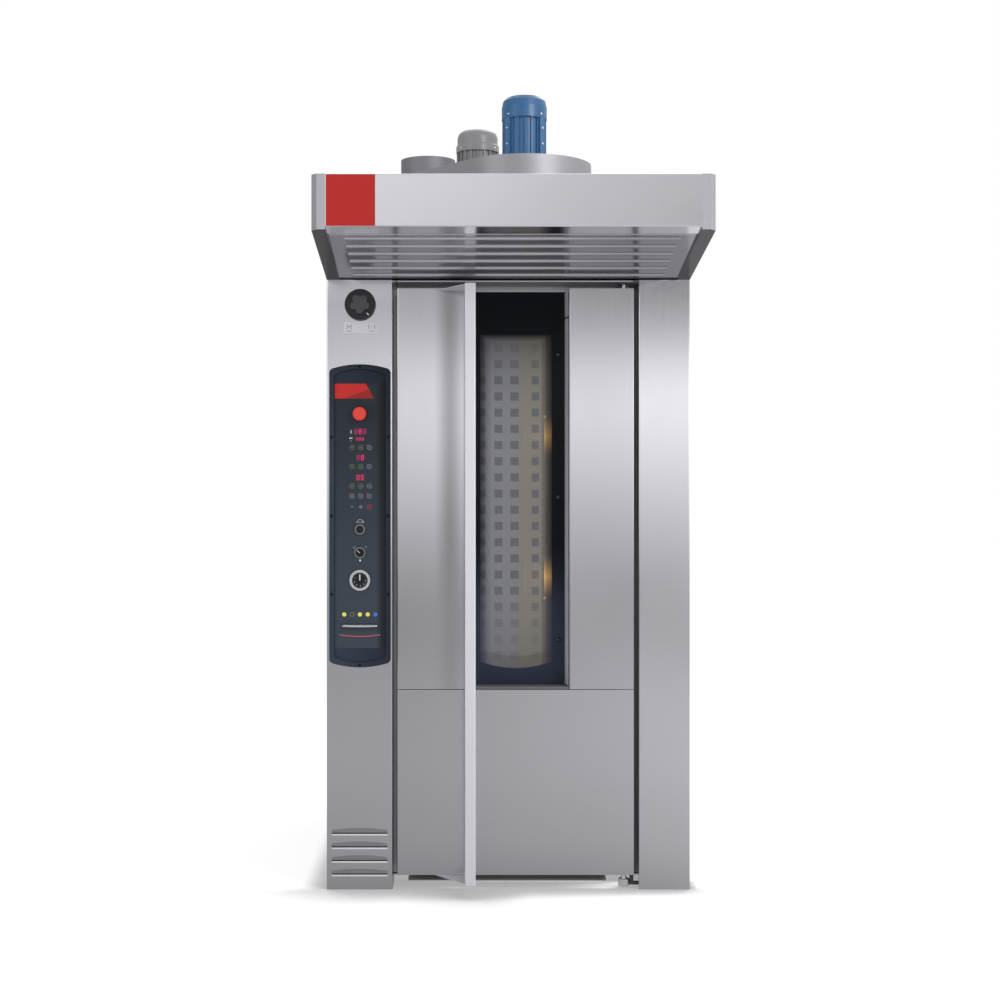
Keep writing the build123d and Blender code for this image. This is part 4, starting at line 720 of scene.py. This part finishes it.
stripe = {"turn": 135, "length": 0.0115, "width": 0.0018, "proud": 0.0002, "thickness": 0.0003}
shape = bmesh.new()
outline = strokeOutline(selector.x, selector.z, stripe["turn"], 0.0, stripe["length"], stripe["width"])
addPrism(shape, outline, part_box("selector_knob")[0].y - stripe["proud"], stripe["thickness"])
makePiece("selectorStripe", shape, "selector", [inks["white"]])


# grip under the dial: a rounded bar over the plain one, full in the middle and drawn in to its ends

gripBar = {"steps": 24, "turns": 16, "endStart": 0.93, "endRound": 0.0052, "taper": 0.16, "flatDepth": 0.72,
           "leastHalf": 0.0006, "bow": 0.0006}
gripLow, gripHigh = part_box("panel_grip")
gripMiddle, gripSize = middleOf("panel_grip"), gripHigh - gripLow
loops = []
for step in range(gripBar["steps"] + 1):
    along = 2 * step / gripBar["steps"] - 1
    pastStart = max(0.0, abs(along) - gripBar["endStart"])
    fullness = sqrt(max(0.0, 1 - pastStart ** 2 / gripBar["endRound"]))
    fullness *= 1 - gripBar["taper"] * along * along
    half = max(gripSize.z / 2 * fullness, gripBar["leastHalf"])
    deep = gripSize.y * (gripBar["flatDepth"] + (1 - gripBar["flatDepth"]) * fullness)
    middleZ = gripMiddle.z - gripBar["bow"] * (1 - along * along)
    angles = [pi * turn / (gripBar["turns"] - 1) for turn in range(gripBar["turns"])]
    loops.append([(gripMiddle.x + along * gripSize.x / 2, gripHigh.y - deep * sin(angle),
                   middleZ + half * cos(angle)) for angle in angles])
shape = bmesh.new()
sides = addSkin(shape, loops, smooth=True)[:-2]
for face in sides[gripBar["turns"] - 1::gripBar["turns"]]:
    face.smooth = False                  # the flat back
grip = makePiece("gripBar", shape, "cabinet", [ringChrome])
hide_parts("panel_grip")


# damper label: a bare plate with an open and a shut mark

label = {
    "x": 0.0005, "z": 1.8565, "width": 0.111, "height": 0.037, "corner": 0.006, "thickness": 0.0012,
    "paint": 0.0002, "markShare": 0.335, "markRise": 0.0035, "strokeHalf": 0.0008, "strokeLength": 0.015,
    "bend": 0.0032, "footDrop": 0.0110, "footWidth": 0.0170, "footHeight": 0.0014, "barHeight": 0.0018,
}
# side, bow of its strokes, half the gap between them, width of the bar in it
labelMarks = ((-1, 1, 0.0083, 0.0075), (1, -0.4, 0.0088, 0.0042))
damper = middleOf("damper_knob")
labelX = damper.x + label["x"]
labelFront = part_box("right_column_casing")[0].y - label["thickness"]
paintFront = labelFront - label["paint"]
labelInk = inkPrint("labelInk", tint(84, 85, 90))
labelPlate = inkPrint("labelPlate", tint(206, 206, 211), 0.3)
shape = bmesh.new()
outline = roundedOutline(labelX, label["z"], label["width"], label["height"], label["corner"])
addPrism(shape, outline, labelFront, label["thickness"])
for side, bow, halfGap, barWidth in labelMarks:
    markX, markZ = labelX + side * label["width"] * label["markShare"], label["z"] + label["markRise"]
    for half in (-1, 1):
        points = [(markX + half * (halfGap - bow * label["bend"] * cos(pi * step / 8 - pi / 2)),
                   markZ + label["strokeLength"] * (step / 8 - 0.5)) for step in range(9)]
        for (x1, z1), (x2, z2) in zip(points, points[1:]):
            wide = label["strokeHalf"]
            addPrism(shape, [(x1 - wide, z1), (x1 + wide, z1), (x2 + wide, z2), (x2 - wide, z2)], paintFront,
                     label["paint"], 1)
    for z, width, height in ((markZ, barWidth, label["barHeight"]),
                             (label["z"] - label["footDrop"], label["footWidth"], label["footHeight"])):
        addPrism(shape, boxOutline(markX, z, width, height), paintFront, label["paint"], 1)
makePiece("damperLabel", shape, "cabinet", [labelPlate, labelInk])


# plain red plate on the hood's corner

hoodPlate = {"left": -0.556, "right": -0.410, "low": 2.088, "margin": 0.002, "thickness": 0.0010,
             "bevel": 0.0004}
hoodLow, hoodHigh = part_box("hood_fascia")
plateRed = inkPrint("plateRed", tint(166, 40, 36), 0.4)
shape = bmesh.new()
plateLow = (hoodPlate["left"], hoodLow.y - hoodPlate["thickness"], hoodPlate["low"] + hoodPlate["margin"])
addBlock(shape, plateLow, (hoodPlate["right"], hoodLow.y, hoodHigh.z - hoodPlate["margin"]))
makePiece("hoodPlate", shape, "cabinet", [plateRed], hoodPlate["bevel"])
print("plates fitted")


# door glass: black border, grey veil, halftone rim, a field of darker squares and the lamps' painted light

glassPrint = {
    "left": -0.0920, "right": 0.1478, "top": 1.8412, "apex": 0.7256, "corner": 0.7474,
    "sideBand": 0.0370, "topBand": 0.0210, "dotPitch": 0.0052, "edgeFill": 0.20, "bandFill": 0.73,
    "squareColumns": ((-0.0825, 0.0190), (-0.0311, 0.0268), (0.0229, 0.0282), (0.0925, 0.0242)),
    "rowPitch": 0.05422, "rowStart": 0.7404, "squareHeight": 0.0272,
    # how strong the squares are and how much painted shade the veil takes, by share of the height from
    # levelFoot up
    "levelFoot": 0.7, "levelSpan": 1.2,
    "squareLevels": ((0.056, 0.28), (0.10, 0.34), (0.147, 0.5), (0.19, 0.66), (0.237, 0.9), (0.28, 1.0),
                     (0.83, 1.0), (0.875, 0.62), (0.915, 0.32)),
    "veilLevels": ((0.0, 0.7), (0.10, 0.79), (0.17, 0.84), (0.30, 0.88), (0.5, 0.89), (0.77, 1.0),
                   (0.84, 0.97), (0.885, 0.86), (0.92, 0.7), (0.945, 0.52)),
    # painted shade on the veil: footLevel just over the foot arc, rightLevel from rightEdge to the right
    "footArc": 0.041, "footLevel": 0.8, "rightLevel": 0.62, "rightEdge": (0.110, 0.126),
    # painted lamp light: warmVeil is the veil's warmer tone on the lamps' side, coming in over warmEdge
    "veil": tint(137, 138, 142), "warmVeil": tint(139, 135, 127), "warmEdge": (0.005, 0.060),
    "square": tint(110, 112, 115),
    # painted reflection: the black border is paler and bluer below inkEdge's heights than above them
    "ink": tint(47, 53, 67), "inkTop": tint(18, 20, 26), "inkEdge": (0.86, 1.16),
    # painted highlights: place, gain in the lamps' light and level without it of the tube's edge and of a
    # line behind it
    "lines": ((0.1245, 0.55, 0.16), (0.0591, 0.12, 0.03)), "lineHalf": 0.0012,
    # height, painted glint's height and strength of each lamp's painted light
    "lamps": ((1.0325, 0.9600, 1.6), (1.5030, 1.5680, 0.98)),
    # painted lamp light on the glass: its reach and fall, the glint's size, where the patches and the tube's
    # glow begin, their colour and strength
    "lampX": 0.1245, "lampReach": 0.075, "lampFall": 1.6, "sparkRadius": 0.0065,
    "patchEdge": (0.045, 0.1225), "patchGlow": 0.09, "tubeEdge": 0.1225, "tubeGlow": 0.8,
    "glow": (1.0, 0.55, 0.13, 1), "glowPower": 0.4,
}


def printedGlass(name):
    values = glassPrint
    material, shader = newMaterial(name, values["ink"], 0.08)
    x, z = placeOn(0), placeOn(2)
    middle, halfSpan = (values["left"] + values["right"]) / 2, (values["right"] - values["left"]) / 2
    fromMiddle = gap(x, middle)
    toSide = calc("SUBTRACT", halfSpan, fromMiddle)
    bow = (values["corner"] - values["apex"]) / halfSpan ** 2
    foot = calc("MULTIPLY_ADD", calc("MULTIPLY", fromMiddle, fromMiddle), bow, values["apex"])
    toFoot = calc("SUBTRACT", z, foot)
    toTop = calc("SUBTRACT", values["top"], z)
    inside = calc("GREATER_THAN", calc("MINIMUM", toSide, toTop, toFoot), 0.0)
    # halftone rim: the dots join up within the band
    rim = calc("MINIMUM", share(toSide, values["sideBand"]), share(toTop, values["topBand"]))
    fill = calc("ADD", calc("MULTIPLY_ADD", rim, values["bandFill"], values["edgeFill"]),
                calc("GREATER_THAN", rim, 0.99))
    waves = [calc("COSINE", calc("MULTIPLY", calc(way, x, z), 2 * pi / values["dotPitch"]))
             for way in ("ADD", "SUBTRACT")]
    dots = calc("MULTIPLY_ADD", calc("ADD", *waves), 0.25, 0.5)
    veil = calc("MULTIPLY", inside, calc("LESS_THAN", dots, fill))
    # squares: the perforated wall behind, in columns and rows
    columns = calc("MAXIMUM", *[calc("LESS_THAN", gap(x, centre), width / 2)
                                for centre, width in values["squareColumns"]])
    rowPlace = calc("DIVIDE", calc("SUBTRACT", z, values["rowStart"]), values["rowPitch"])
    rowMiddle = gap(calc("FRACT", rowPlace), 0.5)
    rows = calc("LESS_THAN", rowMiddle, values["squareHeight"] / values["rowPitch"] / 2)
    height = share(calc("SUBTRACT", z, values["levelFoot"]), values["levelSpan"])
    squares = calc("MULTIPLY", columns, rows, levelRamp(height, values["squareLevels"]))
    # painted lamp light: the veil turns warm towards the lamps' side
    warmth = remap(x, 0.0, 1.0, *values["warmEdge"], True)
    ground = blendColours(warmth, values["veil"], values["warmVeil"])
    pattern = blendColours(squares, ground, values["square"])
    overFoot = calc("GREATER_THAN", toFoot, values["footArc"])
    # painted shade: the veil darkens towards its foot and top, just over the foot arc and to its right
    paintedVeilShade = calc("MULTIPLY", levelRamp(height, values["veilLevels"]),
                   remap(overFoot, values["footLevel"], 1.0),
                   remap(x, 1.0, values["rightLevel"], *values["rightEdge"]))
    pattern = dulled(pattern, paintedVeilShade)
    # painted light of the two lamps on the glass: a soft patch at each, a bright tube edge and a spark past
    # its end
    patches, sparks = [], []
    for lampHeight, sparkHeight, strength in values["lamps"]:
        fall = share(gap(z, lampHeight), values["lampReach"])
        patch = calc("POWER", calc("SUBTRACT", 1.0, fall), values["lampFall"])
        patches.append(calc("MULTIPLY", patch, strength))
        dx, dz = calc("SUBTRACT", x, values["lampX"]), calc("SUBTRACT", z, sparkHeight)
        distance = calc("SQRT", calc("ADD", calc("MULTIPLY", dx, dx),
                                     calc("MULTIPLY", dz, dz)))
        sparks.append(calc("SUBTRACT", 1.0, share(distance, values["sparkRadius"])))
    warm, spark = calc("MAXIMUM", *patches), calc("MAXIMUM", *sparks)
    rightOf = remap(x, 0.0, values["patchGlow"], *values["patchEdge"])
    behindTube = calc("MULTIPLY", calc("GREATER_THAN", x, values["tubeEdge"]), values["tubeGlow"])
    glow = calc("MULTIPLY", warm, calc("MAXIMUM", rightOf, behindTube))
    lines = []
    for lineX, gain, base in values["lines"]:
        onLine = calc("LESS_THAN", gap(x, lineX), values["lineHalf"])
        lines.append(calc("MULTIPLY", onLine, calc("MULTIPLY_ADD", warm, gain, base)))
    paintedLampLight = calc("MULTIPLY", calc("ADD", glow, *lines, spark), inside, remap(veil, 0.3, 1.0),
                 values["glowPower"])
    # painted reflection: the border's ink grows paler and bluer towards the bottom
    ink = blendColours(remap(z, 0.0, 1.0, *values["inkEdge"], True), values["ink"], values["inkTop"])
    feed(shader, {"Base Color": blendColours(veil, ink, pattern), "Alpha": remap(veil, 1.0, 0.9),
                  "Roughness": remap(veil, 0.07, 0.35), "Specular IOR Level": 0.05,
                  "Emission Color": values["glow"], "Emission Strength": paintedLampLight})
    return material


dressNode("door_glass_outer", printedGlass("printedGlass"))
dressNode("door_glass_inner", clearGlass("chamberGlass"))


# lamps between the two panes, with a reflector behind them whose warm glow around each lamp is painted light

lampValues = {
    # reach, glowFall, glowGain and glowBase shape the reflector's painted glow
    "heights": (1.0348, 1.5118), "reach": 0.10, "glowFall": 2.0, "glowGain": 2.4, "glowBase": 0.5,
    "inset": 0.008, "bulbRadius": 0.0076, "bulbHalf": 0.036, "bulbRound": 0.006,
    "capPlace": 0.040, "holderHalf": 0.004,
    "cap": ((0.0078, -0.008), (0.0078, 0.006), (0.0045, 0.008)),
    "reflectorFoot": 0.705, "reflectorHead": 1.895, "reflectorGap": 0.001, "reflectorSheet": 0.0008,
    "reflectorOut": 0.012, "reflectorInset": 0.0005,
}
lampLow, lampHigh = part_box("door_lamps")
lampGlow = glowing("lampGlow", tint(255, 176, 92), 5.0)
lampCap = polishedMetal("lampCap", tint(200, 196, 188), 0.25)
paintedGlowReflector, shader = newMaterial("paintedGlowReflector", tint(170, 160, 140), 0.3, 0.6)
# painted light: the reflector glows, brightest at each lamp's height
along = placeOn(2)
patches = []
for height in lampValues["heights"]:
    away = share(gap(along, height), lampValues["reach"])
    patches.append(calc("POWER", calc("SUBTRACT", 1.0, away), lampValues["glowFall"]))
glow = calc("MULTIPLY_ADD", calc("ADD", *patches), lampValues["glowGain"], lampValues["glowBase"])
feed(shader, {"Emission Color": tint(255, 170, 88), "Emission Strength": glow})
bulbX, lampY = lampLow.x + lampValues["inset"], (lampLow.y + lampHigh.y) / 2
rounded = [(lampValues["bulbRadius"] * sqrt(1 - (1 - end) ** 2),
            lampValues["bulbRound"] * end - lampValues["bulbHalf"]) for end in (0.05, 0.4, 1.0)]
mirrored = [(radius, -place) for radius, place in reversed(rounded)]
shape = bmesh.new()
for height in lampValues["heights"]:
    addTurned(shape, (bulbX, lampY, height), (0, 0, 1), rounded + mirrored, 0, 24)
    for end in (-1, 1):
        capZ, half = height + end * lampValues["capPlace"], lampValues["holderHalf"]
        addTurned(shape, (bulbX, lampY, capZ), (0, 0, end), lampValues["cap"], 1, 24)
        addBlock(shape, (bulbX, lampY - half, capZ - half), (lampHigh.x, lampY + half, capZ + half), 1)
lamps = makePiece("lampTubes", shape, "door", [lampGlow, lampCap])
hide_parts("door_lamps")
shape = bmesh.new()
reflectorY = lampHigh.y + lampValues["reflectorGap"]
addBlock(shape, (lampLow.x - lampValues["reflectorOut"], reflectorY, lampValues["reflectorFoot"]),
         (lampHigh.x - lampValues["reflectorInset"], reflectorY + lampValues["reflectorSheet"],
          lampValues["reflectorHead"]))
makePiece("lampReflector", shape, "door", [paintedGlowReflector])


# recess trims, sill and domed nuts of the outer pane

recess = {
    "face": -0.620, "glass": -0.540, "faceX": 0.202, "glassX": 0.192,      # the recess's right wall
    "trimFront": -0.597, "trimBack": -0.542, "trimSheet": 0.0012, "trimGap": 0.0001,
    "trims": ((0.672, 1.892), (1.898, 1.982)),
    "sillLevel": 0.6705, "sillLeft": -0.106, "sillRight": 0.190, "sillSheet": 0.0008, "sillInset": 0.002,
    "lipInset": 0.003, "lipThickness": 0.001, "lipDrop": 0.009, "lipReach": 0.010,
}
trimSatin = paintedMetal("trimSatin", tint(186, 186, 190), 0.5, 0.0)
sillSatin = paintedMetal("sillSatin", tint(92, 92, 96), 0.6, 0.0)


def recessWall(y):
    part = (y - recess["face"]) / (recess["glass"] - recess["face"])
    return recess["faceX"] + part * (recess["glassX"] - recess["faceX"])


shape = bmesh.new()
near, far = recess["trimFront"], recess["trimBack"]
for low, high in recess["trims"]:
    addUpright(shape, [(recessWall(y) - inset, y) for y, inset in (
        (near, recess["trimSheet"]), (near, recess["trimGap"]), (far, recess["trimGap"]),
        (far, recess["trimSheet"]))], low, high)
makePiece("recessTrims", shape, "door", [trimSatin])
shape = bmesh.new()
sillTop, lipFront = recess["sillLevel"] + recess["sillSheet"], recess["face"] + recess["lipInset"]
addBlock(shape, (recess["sillLeft"], recess["face"] + recess["sillInset"], recess["sillLevel"]),
         (recess["sillRight"], recess["glass"] - recess["sillInset"], sillTop))
addBlock(shape, (recess["sillLeft"], lipFront, recess["sillLevel"] - recess["lipDrop"]),
         (recess["sillRight"] + recess["lipReach"], lipFront + recess["lipThickness"], sillTop))
makePiece("recessSill", shape, "door", [sillSatin])

nutDome = {"count": 3, "rim": 0.35, "rise": 0.63, "steps": 14}
nutGloss = mouldedPlastic("nutGloss", tint(8, 8, 10), 0.12, 900, 0.0, 0.6, 0.4)
nutLow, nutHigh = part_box("glass_nuts")
nutRadius, nutDepth = (nutHigh.x - nutLow.x) / 2, nutHigh.y - nutLow.y
turns = [step * pi / nutDome["steps"] for step in range(nutDome["steps"] // 2)]
dome = [(nutRadius * cos(turn), nutDepth * (nutDome["rim"] + nutDome["rise"] * sin(turn))) for turn in turns]
shape = bmesh.new()
for step in range(nutDome["count"]):
    rise = (nutHigh.z - nutLow.z - 2 * nutRadius) * step / (nutDome["count"] - 1)
    addTurned(shape, (middleOf("glass_nuts").x, nutHigh.y, nutLow.z + nutRadius + rise), (0, -1, 0),
              [(nutRadius, 0.0)] + dome, 0, 28)
nuts = makePiece("domeNuts", shape, "door", [nutGloss])
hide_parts("glass_nuts")
print("door glass and lamps done")


# screws of the motors and cowls, a painted glint on the damper knob and the hood's drip edge

motorScrews = {
    "radius": 0.0042, "height": 0.0026, "sunk": 0.0006,
    "cowlTurn": 46.8, "cowlLevel": 0.012, "padTurn": 52, "padLevels": (0.069, 0.122), "padReach": 0.0762,
    "gearTurn": 53, "gearLevel": 0.012,
}


def addScrews(centre, turn, reach, level):
    # a domed head on an upright round surface, one each side of the middle; turn 0 looks at the viewer
    radius, height = motorScrews["radius"], motorScrews["height"]
    profile = [(radius, 0.0), (radius, height * 0.5), (radius * 0.8, height * 0.85), (radius * 0.35, height)]
    for side in (-1, 1):
        outward = Vector((sin(radians(side * turn)), -cos(radians(side * turn)), 0))
        place = Vector((centre.x, centre.y, level)) + outward * (reach - motorScrews["sunk"])
        addTurned(shape, place, outward, profile, 0, 18)


shape = bmesh.new()
for cowl, turn, level in (("extractor_cowl", motorScrews["cowlTurn"], motorScrews["cowlLevel"]),
                          ("gearmotor_cowl", motorScrews["gearTurn"], motorScrews["gearLevel"])):
    cowlLow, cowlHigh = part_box(cowl)
    addScrews(middleOf(cowl), turn, (cowlHigh.x - cowlLow.x) / 2, cowlLow.z + level)
for level in motorScrews["padLevels"]:
    addScrews(middleOf("extractor_cowl"), motorScrews["padTurn"], motorScrews["padReach"],
              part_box("extractor_motor")[0].z + level)
makePiece("motorScrews", shape, "cabinet", [chrome])

# painted highlight: a white stroke on the damper knob where its glint falls, turning with the knob
damperGlint = {"turn": -51.6, "inner": 0.0365, "outer": 0.0455, "width": 0.0032, "face": -0.6404,
           "thickness": 0.0005}
glintInk = inkPrint("glintInk", tint(232, 232, 234))
shape = bmesh.new()
outline = strokeOutline(damper.x, damper.z, *[damperGlint[key] for key in ("turn", "inner", "outer", "width")])
addPrism(shape, outline, damperGlint["face"], damperGlint["thickness"])
makePiece("damperGlintMark", shape, "damper", [glintInk])

drip = {"inset": 0.006, "front": 0.010, "back": 0.014, "foot": 0.0062, "head": 0.0042}
baffleLow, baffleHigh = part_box("hood_baffle")
shape = bmesh.new()
addBlock(shape, (baffleLow.x + drip["inset"], baffleLow.y + drip["front"], baffleHigh.z - drip["foot"]),
         (baffleHigh.x - drip["inset"], baffleLow.y + drip["back"], baffleHigh.z - drip["head"]))
makePiece("dripEdge", shape, "cabinet", [trimSatin])
print("screws, pointer and drip edge done")


# studio: pale floor, white surroundings and three soft lamps

studio = {
    "keyPlace": (3.0, -4.6, 4.2), "keySize": 2.4, "keyPower": 105,
    "fillPlace": (-4.2, -4.0, 2.4), "fillSize": 3.0, "fillPower": 45,
    "topPlace": (0.4, 2.6, 5.2), "topSize": 3.0, "topPower": 70,
    "roomLight": 0.72, "mirrorLight": 4.0, "lampAim": (0, 0, 1.2),
    # what polished sheet mirrors: (place, level) from the horizon at 0.5 to straight up at 1
    "roomLeft": ((0.5, 0.66), (0.5067, 0.82), (0.514, 0.95), (0.526, 1.12), (0.539, 1.3), (0.5485, 0.95),
                 (0.557, 0.6), (0.568, 0.6), (0.59, 1.0), (0.62, 0.95), (0.85, 0.62)),
    "roomRight": ((0.5, 0.82), (0.5067, 0.97), (0.514, 1.13), (0.526, 1.45), (0.539, 1.78), (0.5485, 1.05),
                  (0.557, 0.36), (0.568, 0.22), (0.59, 0.55), (0.62, 0.65), (0.85, 0.62)),
    "leftToRight": (-0.1, 0.13),
    # factor from the far left at 0 to the far right at 1
    "roomAcross": ((0.0, 0.5), (0.25, 0.5), (0.435, 0.75), (0.47, 1.0), (0.6, 1.0), (0.8, 1.5), (1.0, 1.4)),
    # the same for the floor, by distance as a share of mirrorReach
    "floorMirror": ((0.0, 0.35), (0.0205, 0.36), (0.035, 0.44), (0.05, 0.5), (0.12, 0.57), (0.24, 0.55),
                    (0.45, 0.45), (0.7, 0.42), (1.0, 0.45)),
    "mirrorReach": 30.0, "tiltEdges": (-0.6, 1.2), "tiltLevels": (0.94, 1.36),
    # the contact shadow reaches further in front of the cabinet than beside it, and further on the left
    "contactBeside": 0.06, "contactAhead": 0.18, "contactFront": (-0.6, -0.66),
    "contactLeft": 1.6, "contactRight": 0.6, "contactSides": (-0.6, 0.6),
    "contactPower": 1.8, "contactFloor": 0.48, "floorGlow": 0.76,
    "floorColour": tint(160, 160, 161), "floorReach": 60,
}
world = bpy.data.worlds.new("studioRoom")
bpy.context.scene.world = world
openNodes(world).clear()
direction = addNode("SeparateXYZ", {0: addNode("TexCoord").outputs["Generated"]}).outputs
upward, rightward = [calc("MULTIPLY_ADD", direction[axis], 0.5, 0.5) for axis in (2, 0)]
room = [levelRamp(upward, studio[side], 0.5) for side in ("roomLeft", "roomRight")]
roomTone = blendColours(remap(direction[0], 0.0, 1.0, *studio["leftToRight"]), *room)
roomTone = blendColours(1.0, roomTone, levelRamp(rightward, studio["roomAcross"], 0.5), "MULTIPLY")
rays = addNode("LightPath").outputs
seen, lighting, mirrored = [addNode("Background", {0: colour, 1: level}).outputs[0] for colour, level in (
    ((1, 1, 1, 1), 1.0), ((1, 1, 1, 1), studio["roomLight"]), (roomTone, studio["mirrorLight"]))]
plain = addNode("MixShader", {0: rays["Is Diffuse Ray"], 1: seen, 2: lighting}).outputs[0]
mixed = addNode("MixShader", {0: rays["Is Glossy Ray"], 1: plain, 2: mirrored}).outputs[0]
addNode("OutputWorld", {0: mixed})

floorMaterial, shader = newMaterial("studioFloor", studio["floorColour"], 0.9)
away = addNode("VectorMath", {0: objectPlace()}, operation="LENGTH").outputs["Value"]
across = placeOn(0)
reflected = addNode("Emission", {
    0: levelRamp(share(away, studio["mirrorReach"]), studio["floorMirror"]),
    1: remap(across, *studio["tiltLevels"], *studio["tiltEdges"])}).outputs[0]
# a tight shadow where something stands on or close over the floor
spread = remap(placeOn(1), studio["contactBeside"], studio["contactAhead"], *studio["contactFront"])
leaning = remap(across, studio["contactLeft"], studio["contactRight"], *studio["contactSides"])
opening = addNode("AmbientOcclusion", {"Distance": calc("MULTIPLY", spread, leaning)},
                  samples=8).outputs["AO"]
contact = calc("MAXIMUM", calc("POWER", opening, studio["contactPower"]), studio["contactFloor"])
feed(shader, {"Base Color": dulled(studio["floorColour"], contact), "Specular IOR Level": 0.0,
              "Emission Color": (1, 1, 1, 1),
              "Emission Strength": calc("MULTIPLY", contact, studio["floorGlow"])})
glossy = addNode("LightPath").outputs["Is Glossy Ray"]
floorMix = addNode("MixShader", {0: glossy, 1: shader.outputs[0], 2: reflected}).outputs[0]
feed(openNodes(floorMaterial)["Material Output"], {0: floorMix})
reach = studio["floorReach"]
floorMesh = bpy.data.meshes.new("studioFloor")
floorMesh.from_pydata([(x, y, 0) for x, y in boxOutline(0, 0, 2 * reach, 2 * reach)], [], [(0, 1, 2, 3)])
floorMesh.materials.append(floorMaterial)
studioFloor = addObject("studioFloor", floorMesh)

for lampName in ("key", "fill", "top"):
    data = bpy.data.lights.new(lampName + "Lamp", "AREA")
    data.shape = "DISK"
    data.size, data.energy = studio[lampName + "Size"], studio[lampName + "Power"]
    lamp = addObject(lampName + "Lamp", data)
    lamp.location = studio[lampName + "Place"]
    lamp.rotation_euler = (Vector(studio["lampAim"]) - lamp.location).to_track_quat("-Z", "Y").to_euler()

camera = {"place": (-0.153, -6.520, 1.208), "lens": 64.26, "sensor": 36, "shiftX": 0.038, "shiftY": 0.024}
cameraData = bpy.data.cameras.new("studioCamera")
cameraData.lens, cameraData.sensor_width = camera["lens"], camera["sensor"]
cameraData.shift_x, cameraData.shift_y = camera["shiftX"], camera["shiftY"]
cameraObject = addObject("studioCamera", cameraData)
cameraObject.location = camera["place"]
cameraObject.rotation_euler = (radians(90), 0, 0)
bpy.context.scene.camera = cameraObject
bpy.context.scene.view_settings.view_transform = "Standard"
print("studio and camera set")
